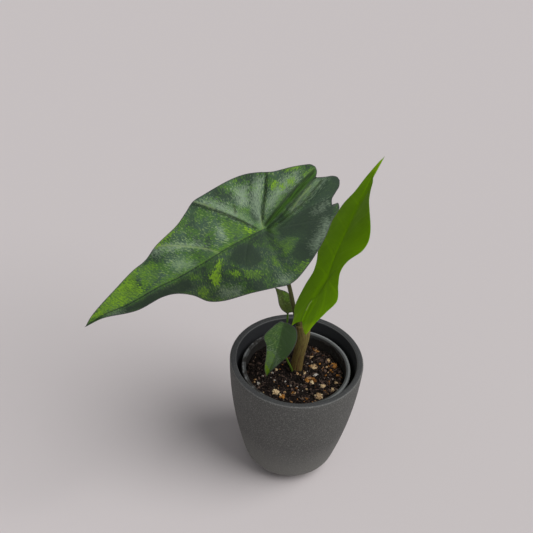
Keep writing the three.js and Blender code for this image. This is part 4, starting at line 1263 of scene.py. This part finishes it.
class ALOCASIA_OT_stem(bpy.types.Operator):
    """Builds the stem in its wrapped sheath"""

    bl_idname = "alocasia.stem"
    bl_label = "Stem sheath"

    def execute(self, context):
        settings = context.scene.alocasia_plant
        place = np.linspace(0, 1, len(STEM_HALF_WIDTHS))

        def section(share, angles):
            # The sheath's free edge laps round the stem and climbs to the right.
            lap = np.angle(np.exp(1j * (angles - (4.4 + 1.1 * share))))
            step = 0.05 * np.where(lap > 0, np.exp(-lap / 1.6), -0.4 * np.exp(lap / 0.25))
            ridges = 0.012 * np.cos(13 * angles + 3 * share) + 0.009 * np.cos(29 * angles)
            scale = 0.965 + step + ridges
            return [np.interp(share, place, sizes) * scale for sizes in (STEM_HALF_WIDTHS, STEM_HALF_DEPTHS)]

        points, faces, extras = rod(even_points(smooth_curve(STEM_AXIS), 90), section, 72)
        skin = stalk_skin("dry_leaf_sheath", settings.sheath_colour, *linears("6b4c30", "969048"), 0.55, 0.7)
        piece = add_piece("stem_sheath", points, faces, [skin], extras)
        dress(piece, ["stem"])
        return {"FINISHED"}


class ALOCASIA_OT_stalks(bpy.types.Operator):
    """Builds the four leaf stalks"""

    bl_idname = "alocasia.stalks"
    bl_label = "Leaf stalks"

    def execute(self, context):
        settings = context.scene.alocasia_plant
        tall = stalk_skin("olive_leaf_stalk", settings.stalk_colour, *linears("3f3f1a", "66702c"), 0.45, 0.4)
        young = stalk_skin("green_leaf_stalk", *linears("5a8628", "4c5a1e", "80a03c"), 0.4, 0.4)
        for name, (leaf, axis, radii) in STALKS.items():

            def section(share, angles, radii=radii):
                radius = radii[0] + (radii[1] - radii[0]) * share
                # A shallow channel runs up the side that faces the plant's middle.
                channel = 1 - 0.1 * np.exp(-((np.angle(np.exp(1j * (angles - 1.5))) / 0.4) ** 2))
                return radius * channel, radius * channel

            points, faces, extras = rod(stalk_line(leaf, axis, radii), section, 28)
            skin = young if name.startswith("petiole_small") else tall
            piece = add_piece(name + "_stalk", points, faces, [skin], extras)
            dress(piece, [name])
        return {"FINISHED"}


class ALOCASIA_OT_blades(bpy.types.Operator):
    """Builds the four leaf blades"""

    bl_idname = "alocasia.blades"
    bl_label = "Leaf blades"

    def execute(self, context):
        settings = context.scene.alocasia_plant
        large = mottled_blade(settings, "mottled_leaf_skin")
        large_under = plain_blade("mottled_leaf_underside", *linears("5a7050", "87996a", "7f9a45"), 0.6, 0.4)
        # The young leaf's skin holds painted glow of light shining through it as well as its own yellow
        # green.
        bright = plain_blade("young_leaf_skin", settings.young_green_and_glow_colour, settings.bright_vein_colour,
                             linear("8cb010"), 0.8, 0.12)
        bright_under = plain_blade("young_leaf_underside", *linears("6f9420", "8fae3a", "8fae3a"), 0.6, 0.4)
        front = mottled_blade(settings, "small_mottled_leaf_skin", 1.8, 0.25, 0.3, linear("4f7038"))
        small_under = plain_blade("small_leaf_underside", *linears("5c7a50", "7f9a6a", "9ab060"), 0.55, 0.4)
        back = mottled_blade(settings, "small_olive_leaf_skin", 2.2, 0.2, 0, linear("66702a"))
        for name, leaf, skins, slot in (
            ("blade_large", LARGE_LEAF, [large, large_under], "blade_mottled"),
            ("blade_bright", BRIGHT_LEAF, [bright, bright_under], "blade_bright"),
            ("blade_small_front", SMALL_FRONT_LEAF, [front, small_under], "blade_small"),
            ("blade_small_back", SMALL_BACK_LEAF, [back, small_under], "blade_small"),
        ):
            add_blade(name, leaf, skins, settings.thickness / MM)
        return {"FINISHED"}


class ALOCASIA_OT_stage(bpy.types.Operator):
    """Sets the plain floor, the soft lights and the camera"""

    bl_idname = "alocasia.stage"
    bl_label = "Stage"

    def execute(self, context):
        settings = context.scene.alocasia_stage
        bpy.ops.mesh.primitive_plane_add(size=12)
        floor = context.active_object
        floor.name = "floor"
        # Board with a coat of matt paint: an even pale ground, with hardly any gloss on it.
        material, tree = new_material("painted_board")
        place = add_node(tree, "TexCoord").outputs["Object"]
        cloud = add_node(tree, "TexNoise", place, sockets={"Scale": 1 / (333 * MM), "Detail": 2})
        roughness = add_node(tree, "MapRange", cloud, 0, 1, 0.85, 0.95)
        paint = {"Base Color": colour_of(settings.floor_colour), "IOR": 1.2, "Roughness": roughness}
        add_node(tree, "OutputMaterial", add_node(tree, "BsdfPrincipled", sockets=paint))
        floor.data.materials.append(material)

        key = bpy.data.objects.new("key_light", bpy.data.lights.new("key_light", "SUN"))
        key.data.energy = settings.key_strength
        key.data.angle = KEY_ANGLE
        key.rotation_euler = Vector(KEY_DIRECTION).to_track_quat("Z", "Y").to_euler()
        context.scene.collection.objects.link(key)

        world = bpy.data.worlds.new("soft_room")
        context.scene.world = world
        world.use_nodes = True
        tree = world.node_tree
        tree.nodes.clear()
        # The fill is brighter low down in front of the plant.
        towards = add_node(tree, "TexCoord").outputs["Generated"]
        facing = add_node(tree, "VectorMath", towards, FILL_DIRECTION, operation="DOT_PRODUCT")
        low, high = (share * settings.sky_strength for share in FILL_SHARES)
        level = add_node(tree, "MapRange", facing.outputs["Value"], -0.2, 1, low, high)
        add_node(tree, "OutputWorld", add_node(tree, "Background", (0.97, 0.98, 1, 1), level))

        lens = bpy.data.cameras.new("photo_camera")
        camera = bpy.data.objects.new("photo_camera", lens)
        lens.sensor_width = SENSOR_MM
        lens.lens = FOCAL_PIXELS * SENSOR_MM / PHOTO_WIDTH
        lens.clip_end = 20
        axes = Matrix((CAMERA_RIGHT, CAMERA_UP, CAMERA_BACK)).transposed().to_4x4()
        camera.matrix_world = Matrix.Translation(CAMERA_PLACE) @ axes
        context.scene.collection.objects.link(camera)
        context.scene.camera = camera
        context.scene.view_settings.view_transform = "Standard"
        return {"FINISHED"}


class ALOCASIA_PT_panel(bpy.types.Panel):
    """Lists the pieces of the plant and what can be changed"""

    bl_idname = "ALOCASIA_PT_panel"
    bl_label = "Potted Alocasia"
    bl_space_type = "VIEW_3D"
    bl_region_type = "UI"
    bl_category = "Alocasia"

    def draw(self, context):
        for operator in OPERATORS:
            self.layout.operator(operator.bl_idname)
        for name in SETTINGS:
            box = self.layout.box()
            group = getattr(context.scene, name)
            for label in group.__annotations__:
                box.prop(group, label)


SETTINGS = {"alocasia_pots": PotSettings, "alocasia_mix": MixSettings, "alocasia_plant": PlantSettings,
            "alocasia_stage": StageSettings}
OPERATORS = (ALOCASIA_OT_outer_pot, ALOCASIA_OT_nursery_pot, ALOCASIA_OT_potting_mix, ALOCASIA_OT_stem,
             ALOCASIA_OT_stalks, ALOCASIA_OT_blades, ALOCASIA_OT_stage)


def register():
    for name, group in SETTINGS.items():
        bpy.utils.register_class(group)
        setattr(bpy.types.Scene, name, PointerProperty(type=group))
    for operator in OPERATORS:
        bpy.utils.register_class(operator)
    bpy.utils.register_class(ALOCASIA_PT_panel)


def unregister():
    bpy.utils.unregister_class(ALOCASIA_PT_panel)
    for operator in reversed(OPERATORS):
        bpy.utils.unregister_class(operator)
    for name, group in SETTINGS.items():
        delattr(bpy.types.Scene, name)
        bpy.utils.unregister_class(group)


def main():
    """Builds every piece in order."""
    register()
    bpy.ops.alocasia.outer_pot()
    bpy.ops.alocasia.nursery_pot()
    bpy.ops.alocasia.potting_mix()
    bpy.ops.alocasia.stem()
    bpy.ops.alocasia.stalks()
    bpy.ops.alocasia.blades()
    bpy.ops.alocasia.stage()


if __name__ == "__main__":
    main()
